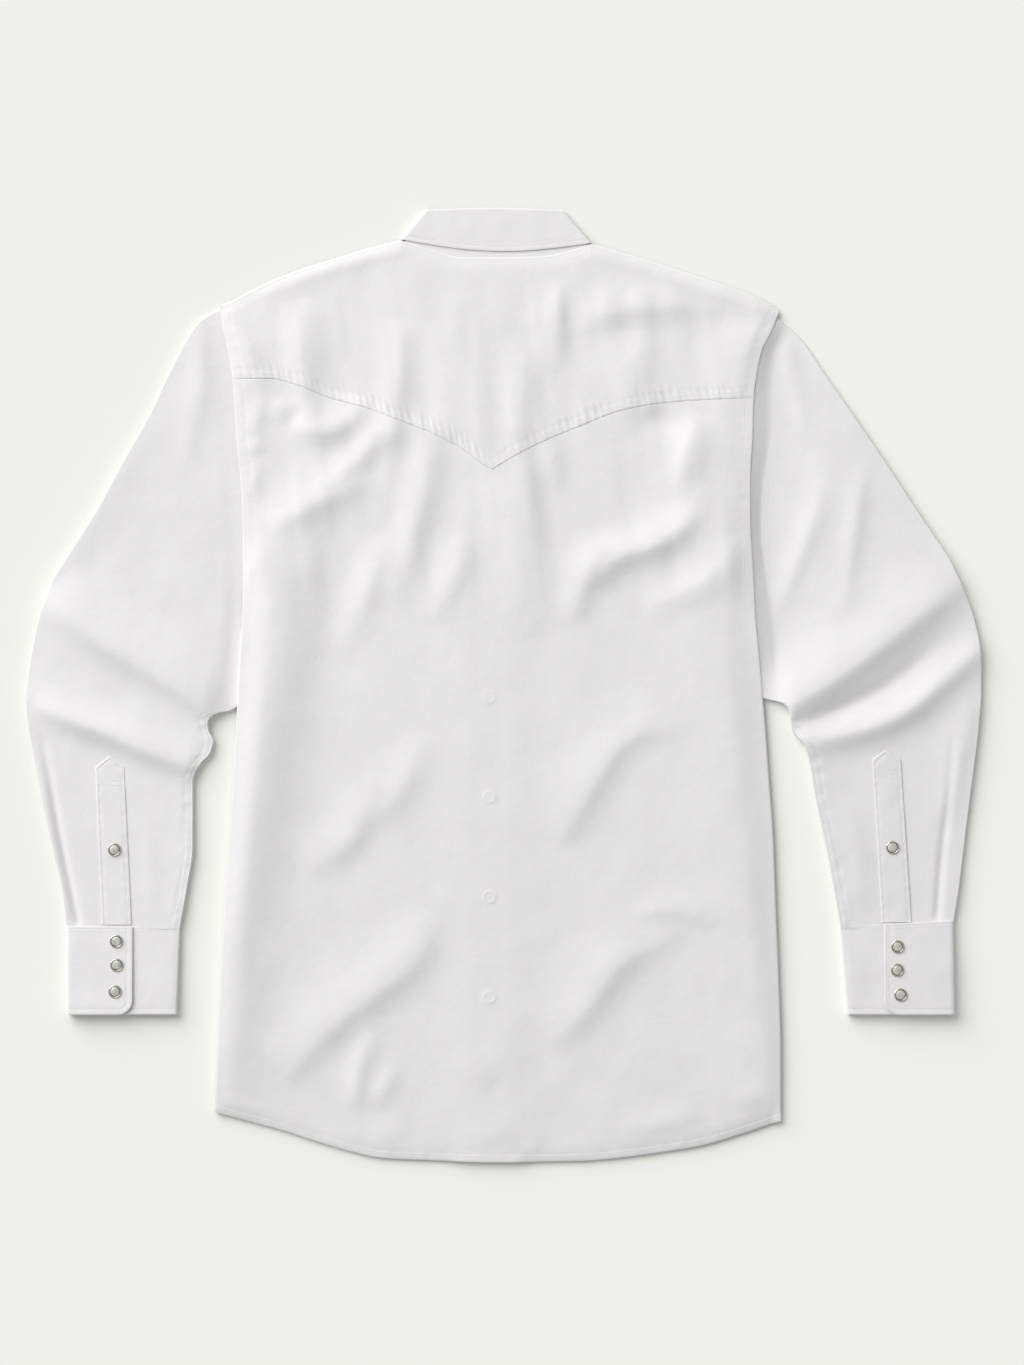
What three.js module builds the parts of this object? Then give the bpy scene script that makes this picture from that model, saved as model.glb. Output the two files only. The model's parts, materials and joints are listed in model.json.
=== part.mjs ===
// Western snap shirt laid flat on a table, back up.
// Millimetres, +Z up, +X to the right and +Y towards the collar, seen from above.
import * as THREE from 'three';

// Driving sizes
const cloth = 1.1;
const cuffCloth = 1.6;
const gap = 0.3;
const layer = cloth + gap;
const yokeLap = 9;
const bandHalf = 17.5;
const bandCentre = -13.5;
const snapPitch = 93;
const firstSnapY = 268;
const frontSnaps = 7;
const snapRadius = 6.1;
const frontSnapHeight = 1.5;
const standHeight = 30;
const cuffTop = -224;
const cuffBottom = -306;
const cuffStand = 8.5;
const cuffLap = 24;

// Levels of the layers at the closing band, counted up from the table
const bandLevel = frontSnapHeight + gap;
const leftFrontLevel = bandLevel + layer;
const rightFrontLevel = leftFrontLevel + layer;
const bandLeft = bandCentre - bandHalf;
const bandRight = bandCentre + bandHalf;

// Left and right edge of the body, from hem to shoulder tip
const bodySides = [
  { y: -460, left: -269, right: 258 },
  { y: -400, left: -269, right: 258 },
  { y: -345, left: -267, right: 258 },
  { y: -275, left: -264, right: 256 },
  { y: -200, left: -260, right: 253 },
  { y: -144, left: -256, right: 251 },
  { y: -88, left: -252, right: 247 },
  { y: -33, left: -249, right: 243 },
  { y: 23, left: -246, right: 238 },
  { y: 80, left: -243, right: 233 },
  { y: 116, left: -243, right: 231 },
  { y: 153, left: -243, right: 229 },
  { y: 191, left: -245, right: 229 },
  { y: 232, left: -249, right: 231 },
  { y: 267, left: -251, right: 232 },
  { y: 290, left: -253, right: 235 },
  { y: 312, left: -257, right: 240 },
  { y: 330, left: -261, right: 249 },
  { y: 353, left: -265, right: 258 },
];

// Shirt-tail hem
const hemLine = [
  { x: -269, y: -397 },
  { x: -245, y: -404 },
  { x: -208, y: -414 },
  { x: -171, y: -426 },
  { x: -143, y: -434 },
  { x: -115, y: -440 },
  { x: -78, y: -442 },
  { x: -4, y: -444 },
  { x: 71, y: -443 },
  { x: 108, y: -440 },
  { x: 145, y: -435 },
  { x: 182, y: -429 },
  { x: 220, y: -418 },
  { x: 258, y: -405 },
];

// Pointed lower edge of the yoke
const yokeLine = [
  { x: -252, y: 285 },
  { x: -218, y: 285 },
  { x: -190, y: 278 },
  { x: -162, y: 267 },
  { x: -129, y: 258 },
  { x: -97, y: 246 },
  { x: -69, y: 235 },
  { x: -41, y: 221 },
  { x: -22, y: 207 },
  { x: -11, y: 200 },
  { x: 0, y: 207 },
  { x: 33, y: 225 },
  { x: 71, y: 241 },
  { x: 108, y: 255 },
  { x: 145, y: 262 },
  { x: 182, y: 265 },
  { x: 232, y: 267 },
];

// Shoulder lines, with the back neck seam between them
const shoulderLine = [
  { x: -265, y: 353 },
  { x: -253, y: 358 },
  { x: -227, y: 372 },
  { x: -190, y: 387 },
  { x: -152, y: 399 },
  { x: -115, y: 410 },
  { x: -97, y: 414 },
  { x: -60, y: 403 },
  { x: -41, y: 398 },
  { x: -4, y: 398 },
  { x: 33, y: 399 },
  { x: 71, y: 407 },
  { x: 82, y: 411 },
  { x: 126, y: 398 },
  { x: 182, y: 380 },
  { x: 220, y: 367 },
  { x: 247, y: 355 },
  { x: 258, y: 346 },
];

// Front neck seam, hidden under the yoke
const frontNeckLine = [
  { x: -97, y: 414 },
  { x: -88, y: 393 },
  { x: -74, y: 374 },
  { x: -55, y: 358 },
  { x: -35, y: 348 },
  { x: -13, y: 345 },
  { x: 8, y: 348 },
  { x: 33, y: 358 },
  { x: 56, y: 375 },
  { x: 72, y: 393 },
  { x: 82, y: 411 },
];

// Sleeve rings from armhole to cuff: inner edge, outer edge, bow of the ring towards the body,
// and the height of the flattened sleeve at its inner edge, middle and outer edge
const leftRings = [
  { ix: -236, iy: 81, ox: -260, oy: 352, bow: 7, inner: 4.2, mid: 4.2, outer: 4.2 },
  { ix: -236, iy: 59, ox: -283, oy: 339, bow: 5, inner: 4.2, mid: 4.4, outer: 6 },
  { ix: -235, iy: 33, ox: -306, oy: 301, bow: 2, inner: 4.2, mid: 4.8, outer: 8 },
  { ix: -236, iy: 9, ox: -329, oy: 253, bow: 0, inner: 4.2, mid: 5, outer: 9 },
  { ix: -240, iy: -7, ox: -357, oy: 203, bow: 0, inner: 4.2, mid: 5, outer: 9 },
  { ix: -246, iy: -18, ox: -380, oy: 161, bow: 0, inner: 4.6, mid: 5, outer: 9 },
  { ix: -255, iy: -24, ox: -404, oy: 123, bow: 0, inner: 7, mid: 5.4, outer: 9 },
  { ix: -265, iy: -26, ox: -422, oy: 93, bow: 0, inner: 9, mid: 6, outer: 9 },
  { ix: -272, iy: -30, ox: -433, oy: 60, bow: 0, inner: 10, mid: 6, outer: 9 },
  { ix: -275, iy: -36, ox: -441, oy: 21, bow: 0, inner: 9, mid: 6, outer: 9 },
  { ix: -274, iy: -43, ox: -445, oy: -14, bow: 0, inner: 9, mid: 6, outer: 9 },
  { ix: -270, iy: -51, ox: -443, oy: -36, bow: 0, inner: 10, mid: 6, outer: 9 },
  { ix: -273, iy: -63, ox: -439, oy: -60, bow: 0, inner: 9, mid: 6, outer: 9 },
  { ix: -282, iy: -73, ox: -435, oy: -80, bow: 0, inner: 8, mid: 5.6, outer: 9 },
  { ix: -289, iy: -90, ox: -431, oy: -102, bow: 0, inner: 8, mid: 5.4, outer: 9 },
  { ix: -289, iy: -118, ox: -425, oy: -130, bow: 0, inner: 8, mid: 5.4, outer: 9 },
  { ix: -289, iy: -150, ox: -418, oy: -160, bow: 0, inner: 8, mid: 5.4, outer: 9 },
  { ix: -294, iy: -186, ox: -411, oy: -192, bow: 0, inner: 7.4, mid: 6, outer: 8.8 },
  { ix: -301, iy: -223.5, ox: -407, oy: -223.5, bow: 0, inner: 6.6, mid: 6.8, outer: 8.5 },
];
const rightRings = [
  { ix: 227, iy: 81, ox: 252, oy: 344, bow: 18, inner: 4.2, mid: 4.2, outer: 4.2 },
  { ix: 226, iy: 59, ox: 275, oy: 324, bow: 11, inner: 4.2, mid: 4.2, outer: 6 },
  { ix: 226, iy: 33, ox: 299, oy: 289, bow: 5, inner: 4.2, mid: 4.4, outer: 8 },
  { ix: 229, iy: 9, ox: 324, oy: 253, bow: 0, inner: 4.2, mid: 4.6, outer: 9 },
  { ix: 235, iy: -6, ox: 350, oy: 215, bow: 0, inner: 4.2, mid: 5, outer: 9 },
  { ix: 243, iy: -13, ox: 373, oy: 180, bow: 0, inner: 4.6, mid: 5, outer: 9 },
  { ix: 252, iy: -15, ox: 396, oy: 145, bow: 0, inner: 7, mid: 5.4, outer: 9 },
  { ix: 260, iy: -18, ox: 415, oy: 116, bow: 0, inner: 9, mid: 6, outer: 9 },
  { ix: 265, iy: -25, ox: 429, oy: 86, bow: 0, inner: 10, mid: 6, outer: 9 },
  { ix: 266, iy: -32, ox: 439, oy: 56, bow: 0, inner: 9, mid: 6, outer: 9 },
  { ix: 267, iy: -39, ox: 444, oy: 25, bow: 0, inner: 9, mid: 6, outer: 9 },
  { ix: 272, iy: -48, ox: 444, oy: -7, bow: 0, inner: 10, mid: 6, outer: 9 },
  { ix: 279, iy: -57, ox: 442, oy: -34, bow: 0, inner: 9, mid: 6, outer: 9 },
  { ix: 284, iy: -74, ox: 439, oy: -62, bow: 0, inner: 8, mid: 5.6, outer: 9 },
  { ix: 288, iy: -98, ox: 435, oy: -93, bow: 0, inner: 8, mid: 5.4, outer: 9 },
  { ix: 294, iy: -127, ox: 431, oy: -125, bow: 0, inner: 8, mid: 5.4, outer: 9 },
  { ix: 301, iy: -160, ox: 427, oy: -158, bow: 0, inner: 8, mid: 5.4, outer: 9 },
  { ix: 307, iy: -193, ox: 423, oy: -190, bow: 0, inner: 7.4, mid: 6, outer: 8.8 },
  { ix: 312, iy: -223.7, ox: 418, oy: -218.2, bow: 0, inner: 6.6, mid: 6.8, outer: 8.5 },
];

// Largest folds: crest points with the height of each, and the half widths to the left and to
// the right of the way along the crest
const bodyFolds = [
  { name: 'left side roll', wide: 20, narrow: 28, crest: [[-199, 120, 4], [-205, 42, 8], [-216, -33, 8],
    [-227, -107, 7], [-238, -200, 7], [-247, -274, 5], [-250, -349, 3]] },
  { name: 'right side roll', wide: 18, narrow: 40, crest: [[213, 230, 2], [215, 180, 6], [217, 79, 8],
    [218, -14, 8], [220, -107, 7], [222, -200, 7], [224, -293, 6], [227, -386, 4]] },
  { name: 'yoke left', wide: 12, narrow: 16, crest: [[-196, 345, 1], [-187, 312, 5], [-190, 279, 3]] },
  { name: 'yoke middle', wide: 12, narrow: 14, crest: [[-93, 345, 1], [-97, 293, 5], [-102, 242, 4]] },
  { name: 'yoke right', wide: 14, narrow: 16, crest: [[104, 322, 2], [108, 275, 4], [112, 250, 2]] },
  { name: 'yoke arc', wide: 16, narrow: 14, crest: [[75, 325, 1], [113, 343, 5], [182, 349, 2]] },
  { name: 'upper left smile', wide: 13, narrow: 13, crest: [[-195, 245, 1], [-170, 242, 5], [-134, 258, 2]] },
  { name: 'left blade', wide: 14, narrow: 14, crest: [[-215, 150, 2], [-173, 172, 6], [-140, 188, 2]] },
  { name: 'long left', wide: 16, narrow: 13, crest: [[-68, 235, 2], [-78, 177, 6], [-86, 140, 6],
    [-99, 102, 4], [-115, 60, 1]] },
  { name: 'centre', wide: 17, narrow: 22, crest: [[15, 235, 1], [24, 170, 4], [35, 95, 4], [38, 40, 1]] },
  { name: 'right blade', wide: 14, narrow: 16, crest: [[75, 85, 3], [99, 114, 7], [126, 127, 8],
    [159, 144, 7], [185, 170, 2]] },
  { name: 'middle left', wide: 15, narrow: 13, crest: [[-160, -155, 1], [-135, -134, 4], [-110, -107, 5],
    [-90, -82, 4], [-72, -65, 1]] },
  { name: 'middle right', wide: 14, narrow: 13, crest: [[52, -142, 1], [70, -112, 6], [90, -78, 7],
    [108, -54, 6], [132, -42, 1]] },
  { name: 'low left', wide: 16, narrow: 14, crest: [[-205, -365, 1], [-175, -332, 5], [-141, -299, 8],
    [-105, -271, 7], [-66, -240, 1]] },
  { name: 'low right', wide: 14, narrow: 13, crest: [[45, -330, 1], [68, -308, 6], [92, -278, 8],
    [118, -252, 6], [155, -234, 1]] },
];
const leftSleeveFolds = [
  { name: 'elbow', wide: 16, narrow: 20, crest: [[-420, 72, 5], [-376, 42, 8], [-329, 14, 9], [-280, -18, 4]] },
  { name: 'forearm', wide: 17, narrow: 14, crest: [[-430, -12, 5], [-394, -34, 8], [-350, -50, 8],
    [-300, -60, 7], [-276, -53, 3]] },
];
const rightSleeveFolds = [
  { name: 'elbow', wide: 16, narrow: 24, crest: [[262, -14, 4], [290, 12, 8], [324, 36, 10], [370, 68, 9],
    [412, 100, 4]] },
  { name: 'forearm', wide: 15, narrow: 15, crest: [[276, -52, 3], [322, -40, 8], [368, -23, 9],
    [405, 5, 7], [436, 34, 4]] },
];

// Pointed plackets on the sleeves: edges at the apex, the shoulders and the cuff
const sleevePlackets = {
  left: { apexX: -369, apexY: -66, topY: -76, topLeft: -380, topRight: -353, endLeft: -374, endRight: -346,
    endY: -222.6 },
  right: { apexX: 354, apexY: -60, topY: -69, topLeft: 342, topRight: 369, endLeft: 351, endRight: 379,
    endY: -220.4 },
};
const placketSnaps = { left: [-362, -153], right: [361, -151] };

// Cuffs: side edges at the top and bottom, the free edge of the lap and the three snaps
const cuffs = {
  left: { side: -1, outerTop: -407, outerEnd: -406, innerTop: -301, innerEnd: -304, lapEdge: -345,
    topOuter: cuffTop, topInner: cuffTop, snaps: [[-360, -238], [-359.5, -260], [-361, -284.5]] },
  right: { side: 1, outerTop: 418, outerEnd: 419, innerTop: 312, innerEnd: 319, lapEdge: 353,
    topOuter: cuffTop + 5.4, topInner: cuffTop, snaps: [[365.5, -243], [365, -264.5], [368, -287.5]] },
};

// Value of a table column at a place along another column, straight between rows
function along(rows, from, to, place) {
  const last = rows.length - 1;
  const rising = rows[last][from] > rows[0][from];
  for (let i = 0; i < last; i += 1) {
    const a = rows[i];
    const b = rows[i + 1];
    const inside = rising ? place <= b[from] : place >= b[from];
    if (inside || i === last - 1) {
      const t = THREE.MathUtils.clamp((place - a[from]) / (b[from] - a[from]), 0, 1);
      return a[to] + (b[to] - a[to]) * t;
    }
  }
  return rows[last][to];
}

// Soft step from 0 at a to 1 at b
function soft(a, b, value) {
  const t = THREE.MathUtils.clamp((value - a) / (b - a), 0, 1);
  return t * t * (3 - 2 * t);
}

// Height that the folds of a table add at a point: a soft ridge along each crest
function foldRise(folds, x, y) {
  let rise = 0;
  for (const fold of folds) {
    let nearest = Infinity;
    let height = 0;
    let width = fold.wide;
    for (let i = 0; i < fold.crest.length - 1; i += 1) {
      const [ax, ay, ah] = fold.crest[i];
      const [bx, by, bh] = fold.crest[i + 1];
      const dx = bx - ax;
      const dy = by - ay;
      const t = THREE.MathUtils.clamp(((x - ax) * dx + (y - ay) * dy) / (dx * dx + dy * dy), 0, 1);
      const distance = Math.hypot(x - ax - dx * t, y - ay - dy * t);
      if (distance < nearest) {
        nearest = distance;
        height = ah + (bh - ah) * t;
        width = dx * (y - ay) - dy * (x - ax) > 0 ? fold.narrow : fold.wide;
      }
    }
    rise += height * Math.exp(-((nearest / width) ** 2));
  }
  return rise;
}

// Closed wall between an outer and an inner grid of points; wraps joins its last column to its first
function wall(outer, inner, wraps = false) {
  const rows = outer.length;
  const columns = outer[0].length;
  const points = [...outer.flat(), ...inner.flat()];
  const half = rows * columns;
  const faces = [];
  const quad = (a, b, c, d) => faces.push([a, b, c], [a, c, d]);
  const spans = wraps ? columns : columns - 1;
  for (let i = 0; i < rows - 1; i += 1) {
    for (let j = 0; j < spans; j += 1) {
      const k = (j + 1) % columns;
      const corners = [i * columns + j, i * columns + k, (i + 1) * columns + k, (i + 1) * columns + j];
      quad(...corners);
      faces.push([corners[0] + half, corners[2] + half, corners[1] + half]);
      faces.push([corners[0] + half, corners[3] + half, corners[2] + half]);
    }
  }
  for (let j = 0; j < spans; j += 1) {
    const k = (j + 1) % columns;
    const top = (rows - 1) * columns;
    quad(k, j, j + half, k + half);
    quad(top + j, top + k, top + k + half, top + j + half);
  }
  if (!wraps) {
    for (let i = 0; i < rows - 1; i += 1) {
      const a = i * columns;
      const b = a + columns;
      quad(a, b, b + half, a + half);
      quad(b + columns - 1, a + columns - 1, a + columns - 1 + half, b + columns - 1 + half);
    }
  }
  return solid(points, faces);
}

// Indexed geometry with its faces pointing out
function solid(points, faces) {
  let volume = 0;
  const a = new THREE.Vector3();
  const b = new THREE.Vector3();
  const c = new THREE.Vector3();
  for (const [i, j, k] of faces) {
    volume += a.set(...points[i]).dot(b.set(...points[j]).cross(c.set(...points[k])));
  }
  const ordered = volume < 0 ? faces.map(([i, j, k]) => [i, k, j]) : faces;
  const geometry = new THREE.BufferGeometry();
  geometry.setAttribute('position', new THREE.Float32BufferAttribute(points.flat(), 3));
  geometry.setIndex(ordered.flat());
  return geometry;
}

// Triangles of a geometry, for laying cloth on it
function trianglesOf(geometry) {
  const at = geometry.getAttribute('position');
  const index = geometry.getIndex();
  const list = [];
  for (let i = 0; i < index.count; i += 3) {
    const p = [0, 1, 2].map((k) => {
      const v = index.getX(i + k);
      return [at.getX(v), at.getY(v), at.getZ(v)];
    });
    const xs = p.map((v) => v[0]);
    const ys = p.map((v) => v[1]);
    list.push({ p, x0: Math.min(...xs), x1: Math.max(...xs), y0: Math.min(...ys), y1: Math.max(...ys) });
  }
  return list;
}

// Highest point of the triangles at one place
function highestAt(triangles, x, y) {
  let high = 0;
  for (const { p, x0, x1, y0, y1 } of triangles) {
    if (x >= x0 && x <= x1 && y >= y0 && y <= y1) {
      const [[ax, ay, az], [bx, by, bz], [cx, cy, cz]] = p;
      const area = (bx - ax) * (cy - ay) - (cx - ax) * (by - ay);
      if (Math.abs(area) > 1e-9) {
        const u = ((x - ax) * (cy - ay) - (cx - ax) * (y - ay)) / area;
        const v = ((bx - ax) * (y - ay) - (x - ax) * (by - ay)) / area;
        if (u >= -1e-6 && v >= -1e-6 && u + v <= 1 + 1e-6) {
          high = Math.max(high, az + (bz - az) * u + (cz - az) * v);
        }
      }
    }
  }
  return high;
}

// Level of the underside of cloth that rests on what lies within reach of a point
function restLevel(triangles, x, y, reach) {
  let high = 0;
  for (const dx of [-reach, 0, reach]) {
    for (const dy of [-reach, 0, reach]) {
      high = Math.max(high, highestAt(triangles, x + dx, y + dy));
    }
  }
  return high + gap;
}

// Grid of points over a panel: a column for each share of the width, a row for each share of the length
function panelGrid(shares, lengths, place, level) {
  return lengths.map((v) => shares.map((u) => {
    const [x, y] = place(u, v);
    return [x, y, level(x, y)];
  }));
}

// Panel with its underside on a grid and its upper face one cloth thickness above
function panel(grid, thickness = cloth) {
  return wall(grid.map((row) => row.map(([x, y, z]) => [x, y, z + thickness])), grid);
}

// Even shares from a to b, without b
function shares(a, b, count) {
  return Array.from({ length: count }, (_, i) => a + ((b - a) * i) / count);
}

const left = (y) => along(bodySides, 'y', 'left', y);
const right = (y) => along(bodySides, 'y', 'right', y);
const shoulder = (x) => along(shoulderLine, 'x', 'y', x);
const frontNeck = (x) => along(frontNeckLine, 'x', 'y', x);
const yokeEdge = (x) => along(yokeLine, 'x', 'y', x);
const hem = (x) => along(hemLine, 'x', 'y', x);

const white = new THREE.MeshStandardMaterial({ color: 0xf0eeee, roughness: 0.85, metalness: 0 });
const pearl = new THREE.MeshStandardMaterial({ color: 0xe6e1d6, roughness: 0.25, metalness: 0 });
const metal = new THREE.MeshStandardMaterial({ color: 0xa8a69a, roughness: 0.3, metalness: 1 });
const shirt = new THREE.Group();

function add(name, geometry, material = white) {
  const mesh = new THREE.Mesh(geometry, material);
  mesh.name = name;
  shirt.add(mesh);
  return mesh;
}

// Flattened sleeve: rings of a closed wall, its underside on the table
const ringShares = [0.1, 0.21, 0.33, 0.46, 0.6, 0.74, 0.87];

function ringPlan(ring, share) {
  const dx = ring.ox - ring.ix;
  const dy = ring.oy - ring.iy;
  const side = Math.sign(ring.ox);
  const bow = (ring.bow * Math.sin(Math.PI * share ** 1.6) ** 0.6) / Math.hypot(dx, dy);
  return [ring.ix + dx * share - side * bow * Math.abs(dy), ring.iy + dy * share];
}

function sleeveHeight(ring, share, folds) {
  const [x, y] = ringPlan(ring, share);
  const inner = (ring.inner - ring.mid) * (1 - soft(0, 0.2, share));
  const outer = (ring.outer - ring.mid) * soft(0.8, 1, share);
  const clear = x < 0 ? left(y) - x : x - right(y);
  const free = y < -30 ? 1 : soft(4, 30, clear);
  return ring.mid + inner + outer + free * foldRise(folds, x, y);
}

function sleeveRing(ring, folds, inset) {
  const span = Math.hypot(ring.ox - ring.ix, ring.oy - ring.iy);
  const corner = 1 - Math.SQRT1_2;
  const round = (share) => sleeveHeight(ring, share, folds) / 2;
  const start = round(0);
  const end = round(1);
  const rise = (share, lift) => {
    const [x, y] = ringPlan(ring, share);
    return [x, y, lift];
  };
  const startTurn = (start - inset) * corner;
  const endTurn = (end - inset) * corner;
  const top = [];
  const under = [];
  top.push(rise((inset + startTurn) / span, start + (start - inset) * Math.SQRT1_2));
  under.push(rise((inset + startTurn) / span, start - (start - inset) * Math.SQRT1_2));
  for (const share of [start / span, ...ringShares, 1 - end / span]) {
    top.push(rise(share, sleeveHeight(ring, share, folds) - inset));
    under.push(rise(share, inset));
  }
  top.push(rise(1 - (inset + endTurn) / span, end + (end - inset) * Math.SQRT1_2));
  under.push(rise(1 - (inset + endTurn) / span, end - (end - inset) * Math.SQRT1_2));
  const tipIn = rise(inset / span, start);
  const tipOut = rise(1 - inset / span, end);
  return [tipIn, ...top, tipOut, ...under.reverse()];
}

function sleeve(rings, folds) {
  const outer = rings.map((ring) => sleeveRing(ring, folds, 0));
  const inner = rings.map((ring) => sleeveRing(ring, folds, cloth));
  return wall(outer, inner, true);
}

const leftSleeve = sleeve(leftRings, leftSleeveFolds);
const rightSleeve = sleeve(rightRings, rightSleeveFolds);
add('left_sleeve', leftSleeve);
add('right_sleeve', rightSleeve);
const sleeveFaces = [...trianglesOf(leftSleeve), ...trianglesOf(rightSleeve)];

// Line that the fronts keep clear of: a sleeve's cap and the strip of it under the body
function sleeveSide(rings) {
  const cap = [0, ...ringShares, 1].map((share) => ringPlan(rings[0], share));
  const strip = rings.slice(1, 7).map((ring) => [ring.ix, ring.iy]).reverse();
  return [...strip, ...cap].map(([x, y]) => ({ x, y }));
}

const leftSide = sleeveSide(leftRings);
const rightSide = sleeveSide(rightRings);
const underarmEnd = -30;

const capClear = gap + 0.3;
const stripClear = 1.6;

function sleeveClear(y) {
  return y > 70 ? capClear : stripClear;
}

function frontLeftEdge(y) {
  return y < underarmEnd ? left(y) : Math.max(left(y), along(leftSide, 'y', 'x', y) + sleeveClear(y));
}

function frontRightEdge(y) {
  return y < underarmEnd ? right(y) : Math.min(right(y), along(rightSide, 'y', 'x', y) - sleeveClear(y));
}

// Rise of the fronts over the front collar, which lies under them
function collarRise(x, y) {
  const across = soft(-128, -106, x) * (1 - soft(90, 112, x));
  return layer * across * soft(272, 292, y);
}

// Rise towards the closing band, level for a margin beside it and then soft
function bandRise(x, margin, fade) {
  const from = bandLeft - margin;
  const to = bandRight + margin;
  return soft(from - fade, from, x) * (1 - soft(to, to + fade, x));
}

// The fronts' columns: shares of the part outside the closing strip, then of the strip
const frontMargin = 2;
const frontFade = 16;
const stripWidth = 2 * bandHalf + frontMargin + frontFade + 5;
const stripShares = [4.5, 13, 21, 40, stripWidth].map((distance) => 1 + distance / stripWidth);
const frontShares = [0, 0.25, 0.5, 0.7, 0.78, 0.86, 0.93, 1, ...stripShares];
const hemLengths = [0, 0.12, 0.25, 0.38];

function frontTop(x) {
  return x > -97 && x < 82 ? frontNeck(x) : shoulder(x);
}

// A front has a row of points at each point of the line that it keeps clear of
function front(edge, closingEdge, level, sideLine) {
  const way = Math.sign(closingEdge - edge(0));
  const stripEdge = closingEdge - way * stripWidth;
  const across = (u, y) => {
    const outside = edge(y) + (stripEdge - edge(y)) * Math.min(u, 1);
    return outside + way * stripWidth * Math.max(u - 1, 0);
  };
  const place = (u, v) => {
    let x = across(u, 0);
    let y = 0;
    for (let step = 0; step < 6; step += 1) {
      y = hem(x) + (frontTop(x) - hem(x)) * v;
      x = across(u, y);
    }
    return [x, y];
  };
  const stations = [{ x: edge(underarmEnd), y: underarmEnd }, ...sideLine.slice(0, -1)];
  const rows = [...stations.map(({ x, y }) => (y - hem(x)) / (shoulder(x) - hem(x))), 1];
  return panelGrid(frontShares, [...hemLengths, ...rows], place, (x, y) => {
    return Math.max(level * bandRise(x, frontMargin, frontFade), collarRise(x, y));
  });
}

const leftFront = panel(front(frontLeftEdge, bandRight, leftFrontLevel, leftSide));
const rightFront = panel(front(frontRightEdge, bandLeft, rightFrontLevel, rightSide));
add('left_front', leftFront);
add('right_front', rightFront);
const frontFaces = [...trianglesOf(leftFront), ...trianglesOf(rightFront)];

// Band sewn on the left front's closing edge, carried by its snaps
const placketGrid = panelGrid([0, 0.33, 0.67, 1], shares(0, 1.0001, 9).concat(1), (u, v) => {
  const x = bandLeft + (bandRight - bandLeft) * u;
  const low = hem(x);
  return [x, low + (frontNeck(x) - 1 - low) * v];
}, () => bandLevel);
add('front_placket', panel(placketGrid));

// Collar: closed band round the neck, folded flat, its front half on the table.
// Rows of the front half go from the side of the neck to the centre front.
const backFold = { left: [-71.5, 442], right: [54, 441.5], rise: 2 };
const backEdge = { left: [-95, 415.6], right: [80.5, 413.5], rise: -9 };
const frontFold = { left: [-20, 375], right: [-7, 375] };
const collarTip = { left: [-62, 300], right: [35, 300] };
const leafMid = { low: cloth / 2, high: 3 * layer + gap + cloth / 2 + 0.1 };
const collarCentre = (leafMid.low + leafMid.high) / 2;
const leafTurn = (leafMid.high - leafMid.low) / 2;
const standTurn = leafTurn - layer;

function blend(a, b, t) {
  return [a[0] + (b[0] - a[0]) * t, a[1] + (b[1] - a[1]) * t];
}

const collarSag = 7;

// Columns of a collar band from the left centre front round the back to the right centre front.
// Each has its plan points at the top and bottom, its height and its outward way.
function collarColumns(band) {
  const low = collarCentre - band.turn;
  const half = (hand) => [0.08, 0.25, 0.45, 0.65, 0.85, 1].map((t) => {
    const [topX, topY] = blend(band.top[hand], band.frontTop[hand], t);
    const lift = band.endLift[hand] * soft(0.5, 0.85, t);
    const top = [topX, topY - collarSag * Math.sin(Math.PI * t)];
    return { top, bottom: band.frontBottom(hand, t), z: low + lift, out: [0, -1] };
  });
  const side = (hand) => [-Math.PI / 4, 0, Math.PI / 4].map((angle) => {
    const way = hand === 'left' ? -1 : 1;
    const shift = way * band.turn * (Math.cos(angle) - 0.3);
    const [topX, topY] = band.top[hand];
    const [bottomX, bottomY] = band.bottom[hand];
    return {
      top: [topX + shift, topY],
      bottom: [bottomX + shift, bottomY],
      z: collarCentre + band.turn * Math.sin(angle),
      out: [way * Math.cos(angle), Math.sin(angle)],
    };
  });
  const back = [0.03, 0.12, 0.25, 0.38, 0.5, 0.62, 0.75, 0.88, 0.97].map((t) => {
    const [topX, topY] = blend(band.top.left, band.top.right, t);
    const top = [topX, topY + band.topRise * Math.sin(Math.PI * t)];
    return { top, bottom: band.backBottom(t), z: collarCentre + band.turn, out: [0, 1] };
  });
  return [...half('left').reverse(), ...side('left'), ...back, ...side('right').reverse(), ...half('right')];
}

function collarBand(columns, lengths) {
  const shift = (column, t, way) => {
    const [x, y] = blend(column.top, column.bottom, t);
    const off = (way * cloth) / 2;
    return [x + column.out[0] * off, y, column.z + column.out[1] * off];
  };
  const outer = lengths.map((t) => columns.map((column) => shift(column, t, 1)));
  const inner = lengths.map((t) => columns.map((column) => shift(column, t, -1)));
  return wall(outer, inner);
}

const leafColumns = collarColumns({
  turn: leafTurn,
  top: backFold,
  bottom: backEdge,
  topRise: backFold.rise,
  frontTop: frontFold,
  frontBottom: (hand, t) => blend(backEdge[hand], collarTip[hand], t),
  backBottom: (t) => {
    const [x, y] = blend(backEdge.left, backEdge.right, t);
    return [x, y + backEdge.rise * Math.sin(Math.PI * t)];
  },
  endLift: { left: 0, right: 0 },
});
add('collar_leaf', collarBand(leafColumns, [0, 0.33, 0.67, 1]));

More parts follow.
